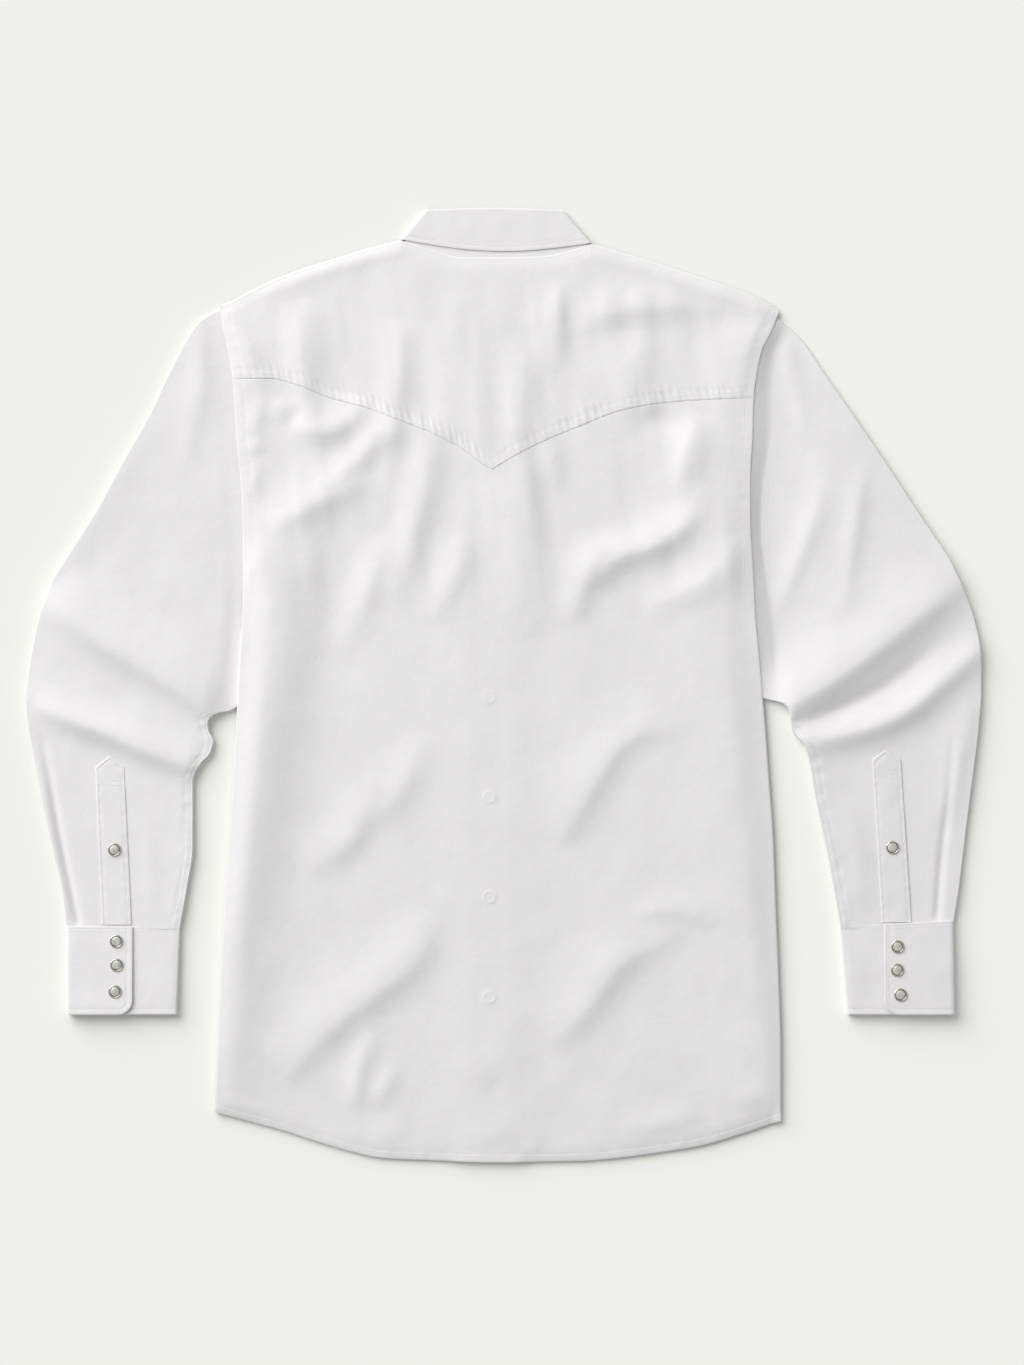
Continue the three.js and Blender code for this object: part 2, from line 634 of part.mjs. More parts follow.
const standTop = { left: [-70, 440], right: [52.5, 439.5], rise: 1.8 };
const standSeam = { left: [-92.5, 414.8], right: [78, 412.2] };
const standEnd = { left: bandRight, right: bandLeft };
const seamClear = 2;
const standLow = collarCentre - standTurn - cloth / 2;
const standColumns = collarColumns({
  turn: standTurn,
  top: standTop,
  bottom: standSeam,
  topRise: standTop.rise,
  frontTop: { left: [standEnd.left, 345 + standHeight], right: [standEnd.right, 345 + standHeight] },
  frontBottom: (hand, t) => {
    const x = standSeam[hand][0] + (standEnd[hand] - standSeam[hand][0]) * t;
    return [x, frontNeck(x) + seamClear];
  },
  backBottom: (t) => {
    const x = standSeam.left[0] + (standSeam.right[0] - standSeam.left[0]) * t;
    return [x, shoulder(x) + gap + 0.4];
  },
  endLift: { left: bandLevel - standLow, right: bandLevel + layer - standLow },
});
const stand = collarBand(standColumns, [0, 0.5, 1]);
add('collar_stand', stand);
const standFaces = trianglesOf(stand).filter(({ p }) => p.every(([, y, z]) => z < 4.5 && y < 396));

// Back panel and yoke share the columns across the body
const edgeShares = [0, 0.016, 0.034, 0.06];
const middleShare = 0.494;
const bodyShares = [...edgeShares, ...shares(0.09, middleShare, 12), ...shares(middleShare, 0.91, 12), 0.91,
  ...edgeShares.map((share) => 1 - share).reverse()];
const restReach = 11;
const backMargin = 14;
const backFade = 30;

function bodyLevel(x, y, lower) {
  const band = (rightFrontLevel + layer) * bandRise(x, backMargin, backFade);
  const base = Math.max(band, layer + collarRise(x, y), restLevel(lower, x, y, restReach));
  return base + foldRise(bodyFolds, x, y);
}

function bodyPlace(low, high) {
  return (u, v) => {
    let x = left(0) + (right(0) - left(0)) * u;
    let y = 0;
    for (let step = 0; step < 8; step += 1) {
      y = low(x) + (high(x) - low(x)) * v;
      x = left(y) + (right(y) - left(y)) * u;
    }
    return [x, y];
  };
}

const backUnder = [...sleeveFaces, ...frontFaces];
const backRows = [...shares(0, 1, 27), 1];
const backGrid = panelGrid(bodyShares, backRows, bodyPlace(hem, (x) => yokeEdge(x) + yokeLap), (x, y) => {
  return bodyLevel(x, y, backUnder);
});
const backPanel = panel(backGrid);
add('back_panel', backPanel);

const yokeUnder = [...standFaces, ...trianglesOf(backPanel)];
const yokeReach = 12;
const yokeShares = [0, 0.13, 0.27, 0.42, 0.58, 0.74, 0.88, 1];
const lapPlace = bodyPlace(yokeEdge, (x) => yokeEdge(x) + yokeLap + 2);
const openPlace = bodyPlace((x) => yokeEdge(x) + yokeLap + 2, shoulder);
const yokeLevel = (x, y) => Math.max(bodyLevel(x, y, backUnder), restLevel(yokeUnder, x, y, yokeReach) + 0.7);
const yokeGrid = [
  ...panelGrid(bodyShares, [0], lapPlace, yokeLevel),
  ...panelGrid(bodyShares, yokeShares, openPlace, yokeLevel),
];
add('back_yoke', panel(yokeGrid));

// Cuff: one stiff band, lapped over itself, with a rounded corner on the lap
const cuffMid = cuffCloth / 2;
const cuffUnder = cuffStand - gap - cuffCloth;

function cuffColumns({ side, lapEdge }) {
  const over = cuffStand - cuffMid;
  const below = cuffUnder - cuffMid;
  const columns = [];
  for (const [inset, lift] of [[0, 13], [4, 5], [9, 1.5], [15, 0]]) {
    columns.push({ x: () => lapEdge + side * inset, z: over, out: [0, 1], lift });
  }
  const outerRound = cuffStand / 2;
  for (const angle of [90, 45, 0, -45, -90]) {
    const way = THREE.MathUtils.degToRad(angle);
    columns.push({ x: (outer) => outer - side * (outerRound - (outerRound - cuffMid) * Math.cos(way)),
      z: outerRound + (outerRound - cuffMid) * Math.sin(way), out: [side * Math.cos(way), Math.sin(way)], lift: 0 });
  }
  columns.push({ x: (outer, inner) => (outer + inner) / 2, z: cuffMid, out: [0, -1], lift: 0 });
  const innerRound = cuffUnder / 2;
  for (const angle of [-90, -45, 0, 45, 90]) {
    const way = THREE.MathUtils.degToRad(angle);
    columns.push({ x: (outer, inner) => inner + side * (innerRound - (innerRound - cuffMid) * Math.cos(way)),
      z: innerRound + (innerRound - cuffMid) * Math.sin(way), out: [-side * Math.cos(way), Math.sin(way)], lift: 0 });
  }
  columns.push({ x: () => lapEdge, z: below, out: [0, 1], lift: 0 });
  columns.push({ x: () => lapEdge + side * cuffLap, z: below, out: [0, 1], lift: 0 });
  return columns;
}

function cuff(sizes) {
  const columns = cuffColumns(sizes);
  const rows = [0, 0.25, 0.5, 0.75, 1];
  const place = (column, t, way) => {
    const outer = sizes.outerTop + (sizes.outerEnd - sizes.outerTop) * t;
    const inner = sizes.innerTop + (sizes.innerEnd - sizes.innerTop) * t;
    const x = column.x(outer, inner);
    const across = THREE.MathUtils.clamp((x - inner) / (outer - inner), 0, 1);
    const top = sizes.topInner + (sizes.topOuter - sizes.topInner) * across;
    const y = top + (cuffBottom + column.lift - top) * t;
    const off = way * cuffMid;
    return [x + column.out[0] * off, y, column.z + column.out[1] * off];
  };
  const outer = rows.map((t) => columns.map((column) => place(column, t, 1)));
  const inner = rows.map((t) => columns.map((column) => place(column, t, -1)));
  return wall(outer, inner);
}

// Pointed placket laid on a sleeve
function sleevePlacket(size, faces) {
  const place = (u, v) => {
    const rise = (size.apexY - size.topY) * (1 - Math.abs(2 * u - 1));
    const leftX = size.topLeft + (size.endLeft - size.topLeft) * v;
    const rightX = size.topRight + (size.endRight - size.topRight) * v;
    return [leftX + (rightX - leftX) * u, size.topY + rise + (size.endY - size.topY - rise) * v];
  };
  const grid = panelGrid([0, 0.5, 1], shares(0, 1.0001, 8).concat(1), place, (x, y) => {
    return restLevel(faces, x, y, 4) + 0.2;
  });
  return panel(grid);
}

// Snap: a metal rim round a domed pearl cap
const rimProfile = [[0, 0], [snapRadius, 0], [snapRadius, 1.3], [5.3, 1.8], [4.7, 1.3], [4.7, 0.7], [0, 0.7]];
const pearlProfile = [[0, 1], [4.4, 1], [4.4, 1.6], [2.6, 2.3], [0, 2.5]];
const frontSnapProfile = [[0, 0], [4.5, 0], [snapRadius, 0.5], [snapRadius, frontSnapHeight], [0, frontSnapHeight]];
const snapSides = 12;

function turned(profile, x, y, z) {
  const geometry = new THREE.LatheGeometry(profile.map(([r, h]) => new THREE.Vector2(r, h)), snapSides);
  geometry.rotateX(Math.PI / 2);
  geometry.translate(x, y, z);
  return geometry;
}

function addSnap(name, [x, y], z) {
  add(`${name}_rim`, turned(rimProfile, x, y, z), metal);
  add(`${name}_pearl`, turned(pearlProfile, x, y, z), pearl);
}

for (const hand of ['left', 'right']) {
  const faces = trianglesOf(hand === 'left' ? leftSleeve : rightSleeve);
  const placket = sleevePlacket(sleevePlackets[hand], faces);
  add(`${hand}_sleeve_placket`, placket);
  add(`${hand}_cuff`, cuff(cuffs[hand]));
  const [x, y] = placketSnaps[hand];
  addSnap(`${hand}_placket_snap`, [x, y], restLevel(trianglesOf(placket), x, y, 4));
  cuffs[hand].snaps.forEach((place, i) => addSnap(`${hand}_cuff_snap_${i + 1}`, place, cuffStand + gap));
}

// Front snaps, whose flat caps carry the closing band over the table
const frontSnapPlaces = Array.from({ length: frontSnaps + 1 }, (_, i) => firstSnapY + snapPitch * (1 - i));
frontSnapPlaces.forEach((y, i) => {
  add(`front_snap_${i + 1}`, turned(frontSnapProfile, bandCentre, y, 0), metal);
});

// The origin is at the middle of the shirt's box, on the table
const box = new THREE.Box3().setFromObject(shirt);
const middle = box.getCenter(new THREE.Vector3());
shirt.position.set(-middle.x, -middle.y, -box.min.z);

export default shirt;
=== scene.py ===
"""Looks of a white western snap shirt, laid flat with its back up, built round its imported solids."""

import json
import logging
import math
from collections.abc import Callable
from dataclasses import dataclass, field
from enum import Enum

import bpy
import numpy as np
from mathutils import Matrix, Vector
from mathutils.bvhtree import BVHTree

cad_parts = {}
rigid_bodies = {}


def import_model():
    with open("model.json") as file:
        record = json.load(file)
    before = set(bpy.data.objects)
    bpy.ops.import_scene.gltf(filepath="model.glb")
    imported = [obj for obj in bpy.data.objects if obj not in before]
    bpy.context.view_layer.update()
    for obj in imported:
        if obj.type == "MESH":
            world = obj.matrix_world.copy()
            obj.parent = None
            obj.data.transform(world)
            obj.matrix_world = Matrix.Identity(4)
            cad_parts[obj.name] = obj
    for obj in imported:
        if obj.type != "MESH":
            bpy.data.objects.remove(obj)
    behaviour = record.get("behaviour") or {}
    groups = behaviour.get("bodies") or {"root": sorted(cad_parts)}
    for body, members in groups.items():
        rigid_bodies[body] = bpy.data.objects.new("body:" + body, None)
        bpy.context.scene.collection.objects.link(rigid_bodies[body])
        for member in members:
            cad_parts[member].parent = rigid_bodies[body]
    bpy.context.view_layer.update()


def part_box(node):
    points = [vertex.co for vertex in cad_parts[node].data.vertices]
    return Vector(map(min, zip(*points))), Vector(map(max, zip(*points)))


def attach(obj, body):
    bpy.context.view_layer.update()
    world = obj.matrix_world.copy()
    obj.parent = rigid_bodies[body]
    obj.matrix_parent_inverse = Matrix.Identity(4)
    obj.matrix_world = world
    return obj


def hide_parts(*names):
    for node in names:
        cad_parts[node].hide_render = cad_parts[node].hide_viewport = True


LOG = logging.getLogger("shirt")
MILLIMETRE = 0.001
# A pixel of the photograph in millimetres, and the pixel at the drafting plan's origin
PIXEL_MM = 0.93
CENTRE_PIXEL = (504, 685)
# Angles in degrees from which an edge shades sharp
CLOTH_SHARP = 50
METAL_SHARP = 40
# Millimetres: cloth over the table, a snap's foot in its cloth, the collar leaf's hanging edge
TABLE_CLEARANCE = 0.05
SNAP_SINK = 0.2
LEAF_SAG = 9
Array = np.ndarray
Line = Callable[[Array], Array]
Piece = bpy.types.Object
Points = tuple[tuple[float, float], ...]
Run = tuple[float, ...]
Socket = bpy.types.NodeSocket
Triple = tuple[float, float, float]


class Hand(Enum):
    """The side of the picture on which a sleeve, placket or cuff lies."""

    LEFT = "left"
    RIGHT = "right"

    @property
    def way(self) -> int:
        """Minus one on the left and one on the right."""
        return -1 if self is Hand.LEFT else 1


class Plan:
    """Where the drafting plan, in millimetres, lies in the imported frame."""

    cuff_corner = (-407, -224)

    def __init__(self) -> None:
        """Reads the shift of the plan from the left cuff's outer top corner."""
        low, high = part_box("left_cuff")
        corner = np.array([low.x * 1000, high.y * 1000]) - self.cuff_corner
        self.shift = np.array([*corner, 0.0])

    def metres(self, points: Array) -> Array:
        """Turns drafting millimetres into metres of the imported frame.

        Args:
            points: points of any shape whose last axis is x, y, z.

        Returns:
            The same points in metres.
        """
        return (points + self.shift) * MILLIMETRE


def soft_step(start: float, end: float, value: Array) -> Array:
    """Goes softly from 0 at start to 1 at end.

    Args:
        start: where the step begins.
        end: where it ends, which may be lower than start.
        value: where it is wanted.

    Returns:
        The step's height at each value.
    """
    t = np.clip((np.asarray(value, float) - start) / (end - start), 0, 1)
    return t * t * (3 - 2 * t)


def smooth_curve(places: Run, values: Run, at: Array) -> Array:
    """Draws a smooth curve through points without overshooting any of them.

    Args:
        places: where the points are, rising or falling.
        values: the height of each point.
        at: where the curve is wanted; the ends go on level.

    Returns:
        The curve's height at each place.
    """
    x = np.asarray(places, float)
    y = np.asarray(values, float)
    if x[0] > x[-1]:
        x, y = x[::-1], y[::-1]
    step = np.diff(x)
    slope = np.diff(y) / step
    tangent = np.zeros_like(y)
    if len(x) > 2:
        one = 2 * step[1:] + step[:-1]
        two = step[1:] + 2 * step[:-1]
        turning = slope[:-1] * slope[1:] <= 0
        first = np.where(turning, 1, slope[:-1])
        second = np.where(turning, 1, slope[1:])
        tangent[1:-1] = np.where(turning, 0, (one + two) / (one / first + two / second))
    tangent[0] = slope[0]
    tangent[-1] = slope[-1]
    i = np.clip(np.searchsorted(x, at, side="right") - 1, 0, len(x) - 2)
    t = np.clip((at - x[i]) / step[i], 0, 1)
    rise = t * t * (3 - 2 * t)
    lead = t * (1 - t) ** 2 * step[i] * tangent[i]
    trail = t * t * (t - 1) * step[i] * tangent[i + 1]
    return y[i] * (1 - rise) + y[i + 1] * rise + lead + trail


def rounded(edge: Array, radius: float | Array) -> Array:
    """Quarter-round profile: 0 at an edge, 1 from one radius inside it."""
    share = np.clip(1 - edge / radius, 0, 1)
    return np.sqrt(np.maximum(1 - share * share, 0))


def bell(value: Array, width: float | Array, power: float = 2) -> Array:
    """Bell curve: 1 at zero, 0.37 at the width, flatter on top with a higher power."""
    return np.exp(-((value / width) ** power))


def climb(inside: Array, width: float | Array, power: float) -> Array:
    """Rise from 0 at an edge to 1 at a width inside it, rounder with a higher power."""
    return 1 - np.clip(1 - inside / width, 0, 1) ** power


class Ripple:
    """Seeded smooth unevenness of cloth."""

    count = 128
    start = (1000.37, 1000.71)

    def __init__(self, seed: int, along: float, across: float) -> None:
        """Draws the field's random knots.

        Args:
            seed: the same seed gives the same field.
            along: knot spacing of the first coordinate, in millimetres.
            across: knot spacing of the second coordinate, in millimetres.
        """
        self.knots = np.random.default_rng(seed).uniform(-1, 1, (self.count, self.count))
        self.along = along
        self.across = across

    def at(self, x: Array, y: Array) -> Array:
        """Value between about -1 and 1 at each place."""
        u = np.asarray(x, float) / self.along + self.start[0]
        v = np.asarray(y, float) / self.across + self.start[1]
        i = np.floor(u).astype(int)
        j = np.floor(v).astype(int)
        s = u - i
        t = v - j
        s = s * s * s * (s * (6 * s - 15) + 10)
        t = t * t * t * (t * (6 * t - 15) + 10)
        n = self.count
        a = self.knots[i % n, j % n]
        b = self.knots[(i + 1) % n, j % n]
        c = self.knots[i % n, (j + 1) % n]
        d = self.knots[(i + 1) % n, (j + 1) % n]
        return (a * (1 - s) + b * s) * (1 - t) + (c * (1 - s) + d * s) * t


@dataclass(frozen=True)
class Crease:
    """Soft ridge or trough along a given line.

    The line's points are pixels of the photograph with a height in millimetres, negative for a
    trough. The half widths, in millimetres, lie to the left and to the right of the way along it.
    """

    path: tuple[Triple, ...]
    left: float
    right: float
    power: float = 1.8

    def line(self) -> Array:
        """Points of the rounded line: x and y in drafting millimetres, and the height."""
        rows = np.array(self.path, float)
        rows[:, 0] = (rows[:, 0] - CENTRE_PIXEL[0]) * PIXEL_MM
        rows[:, 1] = (CENTRE_PIXEL[1] - rows[:, 1]) * PIXEL_MM
        if len(rows) < 3:
            return rows
        padded = np.vstack([2 * rows[0] - rows[1], rows, 2 * rows[-1] - rows[-2]])
        out = [rows[:1]]
        for k in range(len(rows) - 1):
            a, b, c, d = padded[k : k + 4]
            t = np.linspace(0, 1, 6)[1:, None]
            turn = (2 * b) + (c - a) * t + (2 * a - 5 * b + 4 * c - d) * t**2
            out.append(0.5 * (turn + (3 * b - a - 3 * c + d) * t**3))
        return np.vstack(out)

    def add_to(self, rise: Array, x: Array, y: Array) -> None:
        """Adds the crease to a height field.

        Args:
            rise: the field's heights, changed in place.
            x: drafting x of each place.
            y: drafting y of each place.
        """
        line = self.line()
        reach = 2.6 * max(self.left, self.right)
        low = line[:, :2].min(0) - reach
        high = line[:, :2].max(0) + reach
        near = (x > low[0]) & (x < high[0]) & (y > low[1]) & (y < high[1])
        if not near.any():
            return
        px = x[near][:, None]
        py = y[near][:, None]
        a = line[:-1]
        step = line[1:] - a
        square = np.maximum(step[:, 0] ** 2 + step[:, 1] ** 2, 1e-9)
        t = np.clip(((px - a[:, 0]) * step[:, 0] + (py - a[:, 1]) * step[:, 1]) / square, 0, 1)
        off_x = px - a[:, 0] - t * step[:, 0]
        off_y = py - a[:, 1] - t * step[:, 1]
        gap = np.hypot(off_x, off_y)
        best = gap.argmin(1)
        rows = np.arange(len(best))
        height = a[best, 2] + step[best, 2] * t[rows, best]
        side = step[best, 0] * off_y[rows, best] - step[best, 1] * off_x[rows, best]
        tilt = side / (np.sqrt(square[best]) * np.maximum(gap[rows, best], 1e-6))
        share = 0.5 + 0.5 * np.clip(tilt, -1, 1)
        width = self.right + (self.left - self.right) * share
        rise[near] += height * bell(gap[rows, best], width, self.power)


def crease_field(creases: list[Crease], x: Array, y: Array) -> Array:
    """Sum of the creases' heights at each place."""
    rise = np.zeros(np.shape(x))
    for crease in creases:
        crease.add_to(rise, x, y)
    return rise


def grid_normals(grid: Array, wraps: bool) -> Array:
    """Unit normals of a grid of points.

    Args:
        grid: rows by columns by 3.
        wraps: True if the last column joins the first.

    Returns:
        Normals of the same shape, up where x grows with the columns and y with the rows.
    """
    if wraps:
        across = np.roll(grid, -1, 1) - np.roll(grid, 1, 1)
    else:
        across = np.gradient(grid, axis=1)
    along = np.gradient(grid, axis=0)
    normal = np.cross(across, along)
    length = np.linalg.norm(normal, axis=2, keepdims=True)
    return normal / np.maximum(length, 1e-9)


def facing_up(grid: Array, row: int, column: int, wraps: bool = False) -> Array:
    """The grid, its rows reversed if its face at this row and column looks down."""
    return grid[::-1] if grid_normals(grid, wraps)[row, column, 2] < 0 else grid


def quads(rows: int, columns: int, wraps: bool) -> Array:
    """Corner numbers of a grid's four-sided faces, anticlockwise from above."""
    steps = columns if wraps else columns - 1
    i, j = np.meshgrid(np.arange(rows - 1), np.arange(steps), indexing="ij")
    k = (j + 1) % columns
    corners = [i * columns + j, i * columns + k, (i + 1) * columns + k, (i + 1) * columns + j]
    return np.stack(corners, -1).reshape(-1, 4)


def rim_quads(rows: int, columns: int, wraps: bool) -> Array:
    """Faces that join the border of an upper grid to the same border of a lower one."""
    half = rows * columns
    if wraps:
        start = np.arange(columns)
        loops = [np.append(start, 0)[::-1], np.append(start, 0) + (rows - 1) * columns]
    else:
        bottom = np.arange(columns)
        right = np.arange(rows) * columns + columns - 1
        top = (rows - 1) * columns + np.arange(columns)[::-1]
        left = np.arange(rows)[::-1] * columns
        loops = [np.concatenate([bottom, right[1:], top[1:], left[1:]])[::-1]]
    faces = []
    for loop in loops:
        a, b = loop[:-1], loop[1:]
        faces.append(np.stack([a, b, b + half, a + half], -1))
    return np.vstack(faces)


def add_object(name: str, data: bpy.types.ID) -> Piece:
    """Adds an object with this mesh, lamp or camera to the scene, at the origin."""
    piece = bpy.data.objects.new(name, data)
    bpy.context.scene.collection.objects.link(piece)
    return piece


def shade_smooth(mesh: bpy.types.Mesh, sharp: float) -> None:
    """Shades a mesh smooth but for edges sharper than this angle in degrees."""
    mesh.polygons.foreach_set("use_smooth", np.ones(len(mesh.polygons), bool))
    mesh.set_sharp_from_angle(angle=math.radians(sharp))


def make_mesh(name: str, points: Array, faces: Array, flat: Array) -> Piece:
    """Makes a smooth mesh piece.

    Args:
        name: the piece's name.
        points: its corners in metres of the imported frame.
        faces: four corner numbers a face.
        flat: where each corner lies on the cut cloth, in metres, for the weave.

    Returns:
        The new object, at the origin.
    """
    mesh = bpy.data.meshes.new(name)
    mesh.from_pydata(points.tolist(), [], faces.tolist())
    layer = mesh.uv_layers.new(name="weave")
    corner = np.zeros(len(mesh.loops), int)
    mesh.loops.foreach_get("vertex_index", corner)
    layer.data.foreach_set("uv", flat[corner].astype(np.float32).ravel())
    shade_smooth(mesh, CLOTH_SHARP)
    mesh.update()
    return add_object(name, mesh)


def make_shell(
    name: str, plan: Plan, outer: Array, thickness: float, wraps: bool = False, grain: float = 0
) -> Piece:
    """Makes a closed thin shell of cloth from the grid of its outer face.

    Args:
        name: the piece's name.
        plan: turns drafting millimetres into metres.
        outer: grid of points in drafting millimetres.
        thickness: of the cloth in millimetres.
        wraps: True if the last column joins the first.
        grain: angle of the warp from the y axis, in degrees.

    Returns:
        The new object.
    """
    rows, columns = outer.shape[:2]
    inner = outer - grid_normals(outer, wraps) * thickness
    inner[..., 2] = np.maximum(inner[..., 2], TABLE_CLEARANCE)
    half = rows * columns
    top = quads(rows, columns, wraps)
    faces = np.vstack([top, top[:, ::-1] + half, rim_quads(rows, columns, wraps)])
    points = plan.metres(np.vstack([outer.reshape(-1, 3), inner.reshape(-1, 3)]))
    turn = math.radians(grain)
    flat = np.stack(
        [
            points[:, 0] * math.cos(turn) + points[:, 1] * math.sin(turn),
            points[:, 1] * math.cos(turn) - points[:, 0] * math.sin(turn) + points[:, 2],
        ],
        -1,
    )
    return make_mesh(name, points, faces, flat)


def run_along(points: Array) -> Array:
    """Length along a line up to each of its points."""
    return np.concatenate([[0], np.cumsum(np.linalg.norm(np.diff(points, axis=0), axis=1))])


def edge_steps(width: float, near: Run, middle: float) -> Array:
    """Distances across a panel: fine beside both edges and even between them.

    Args:
        width: of the panel in millimetres.
        near: distances of the fine steps from each edge.
        middle: spacing of the even steps between them.

    Returns:
        Distances from the first edge, from 0 to the width.
    """
    start = near[-1]
    count = max(int(round((width - 2 * start) / middle)), 1)
    even = np.linspace(start, width - start, count + 1)
    return np.concatenate([near[:-1], even, width - np.array(near[:-1])[::-1]])


@dataclass(frozen=True)
class RowSet:
    """Rows of a grid between a lower and an upper line."""

    lift: Array
    above: Array
    below: Array

    @classmethod
    def between(cls, low: Run, high: Run, count: float) -> "RowSet":
        """Fine rows beside both lines and even ones between them.

        Args:
            low: distances of the first rows above the lower line.
            high: distances of the last rows below the upper line, nearest first.
            count: number of even steps between them.

        Returns:
            The rows, from the lower line up.
        """
        steps = max(int(count), 1)
        inner = np.linspace(0, 1, steps + 1)[1:-1]
        lift = np.concatenate([np.zeros(len(low)), inner, np.ones(len(high))])
        above = np.concatenate([low, np.full(len(inner) + len(high), low[-1])])
        below = np.concatenate([np.full(len(low) + len(inner), high[-1]), high[::-1]])
        return cls(lift, above, below)


@dataclass(frozen=True)
class Outline:
    """Edges of the laid body in drafting millimetres, as in the part's own plan.

    Lines across the body are points of x and y. The caps, where the sleeves end under the body, are
    points of y and x.
    """

    side_y: Run = (
        -460, -400, -345, -275, -200, -144, -88, -33, 23, 80, 116, 153, 191, 232, 267, 290, 312,
        330, 353,
    )
    left_x: Run = (
        -269, -269, -267, -264, -260, -256, -252, -249, -246, -243, -243, -243, -245, -249, -251,
        -253, -257, -261, -265,
    )
    right_x: Run = (
        258, 258, 258, 256, 253, 251, 247, 243, 238, 233, 231, 229, 229, 231, 232, 235, 240, 249, 258,
    )
    hem_points: Points = (
        (-269, -397), (-245, -404), (-208, -414), (-171, -426), (-143, -434), (-115, -440), (-78, -442),
        (-4, -444), (71, -443), (108, -440), (145, -435), (182, -429), (220, -418), (258, -405),
    )
    yoke_left: Points = (
        (-252, 285), (-218, 285), (-190, 278), (-162, 267), (-129, 258), (-97, 246), (-69, 235),
        (-41, 221), (-22, 207), (-11, 200),
    )
    yoke_right: Points = (
        (-11, 200), (0, 207), (33, 225), (71, 241), (108, 255), (145, 262), (182, 265), (232, 267),
    )
    shoulder_left: Points = (
        (-265, 353), (-253, 358), (-227, 372), (-190, 387), (-152, 399), (-115, 410), (-97, 414),
    )
    neck: Points = (
        (-97, 414), (-60, 403), (-41, 398), (-4, 398), (33, 399), (71, 407), (82, 411),
    )
    shoulder_right: Points = (
        (82, 411), (126, 398), (182, 380), (220, 367), (247, 355), (258, 346),
    )
    front_neck: Points = (
        (-97, 414), (-88, 393), (-74, 374), (-55, 358), (-35, 348), (-13, 345), (8, 348), (33, 358),
        (56, 375), (72, 393), (82, 411),
    )
    left_cap: Points = (
        (-30, -236), (59, -235.5), (81, -235), (107, -234), (138, -234), (170, -236), (206, -239),
        (244, -244), (282, -250), (317, -254), (352, -259),
    )
    right_cap: Points = (
        (-30, 226), (59, 226), (81, 224), (107, 222), (138, 218), (170, 215), (206, 214), (244, 217),
        (282, 224), (317, 235), (346, 250),
    )
    point_x: float = -11.0
    neck_ends: tuple[float, float] = (-97, 82)
    mean_left: float = -243
    mean_width: float = 476
    rounds: int = 10

    @staticmethod
    def curve(points: Points, at: Array) -> Array:
        """Smooth line through points, whose second number is wanted at places of the first."""
        return smooth_curve([p[0] for p in points], [p[1] for p in points], at)

    def left(self, y: Array) -> Array:
        """Left edge of the body at each y."""
        return smooth_curve(self.side_y, self.left_x, y)

    def right(self, y: Array) -> Array:
        """Right edge of the body at each y."""
        return smooth_curve(self.side_y, self.right_x, y)

    def hem(self, x: Array) -> Array:
        """Hem line at each x."""
        return self.curve(self.hem_points, x)

    def yoke(self, x: Array) -> Array:
        """Pointed lower edge of the yoke at each x."""
        return np.where(x < self.point_x, self.curve(self.yoke_left, x), self.curve(self.yoke_right, x))

    def shoulder(self, x: Array) -> Array:
        """Shoulder lines and the back neck seam at each x."""
        left, right = self.neck_ends
        middle = np.where(x > right, self.curve(self.shoulder_right, x), self.curve(self.neck, x))
        return np.where(x < left, self.curve(self.shoulder_left, x), middle)

    def place(self, across: Array, rows: RowSet, low: Line, high: Line) -> tuple[Array, Array]:
        """Lays a grid between two lines and the body's two sides.

        Args:
            across: share of the width of each column.
            rows: how the rows lie between the two lines.
            low: lower line, y from x.
            high: upper line, y from x.

        Returns:
            Grids of x and y, rows by columns.
        """
        u = across[None, :]
        v = rows.lift[:, None]
        x = self.mean_left + self.mean_width * u + 0 * v
        for _ in range(self.rounds):
            y = (low(x) + rows.above[:, None]) * (1 - v) + (high(x) - rows.below[:, None]) * v
            x = self.left(y) + (self.right(y) - self.left(y)) * u
        return x, y


OUTLINE = Outline()


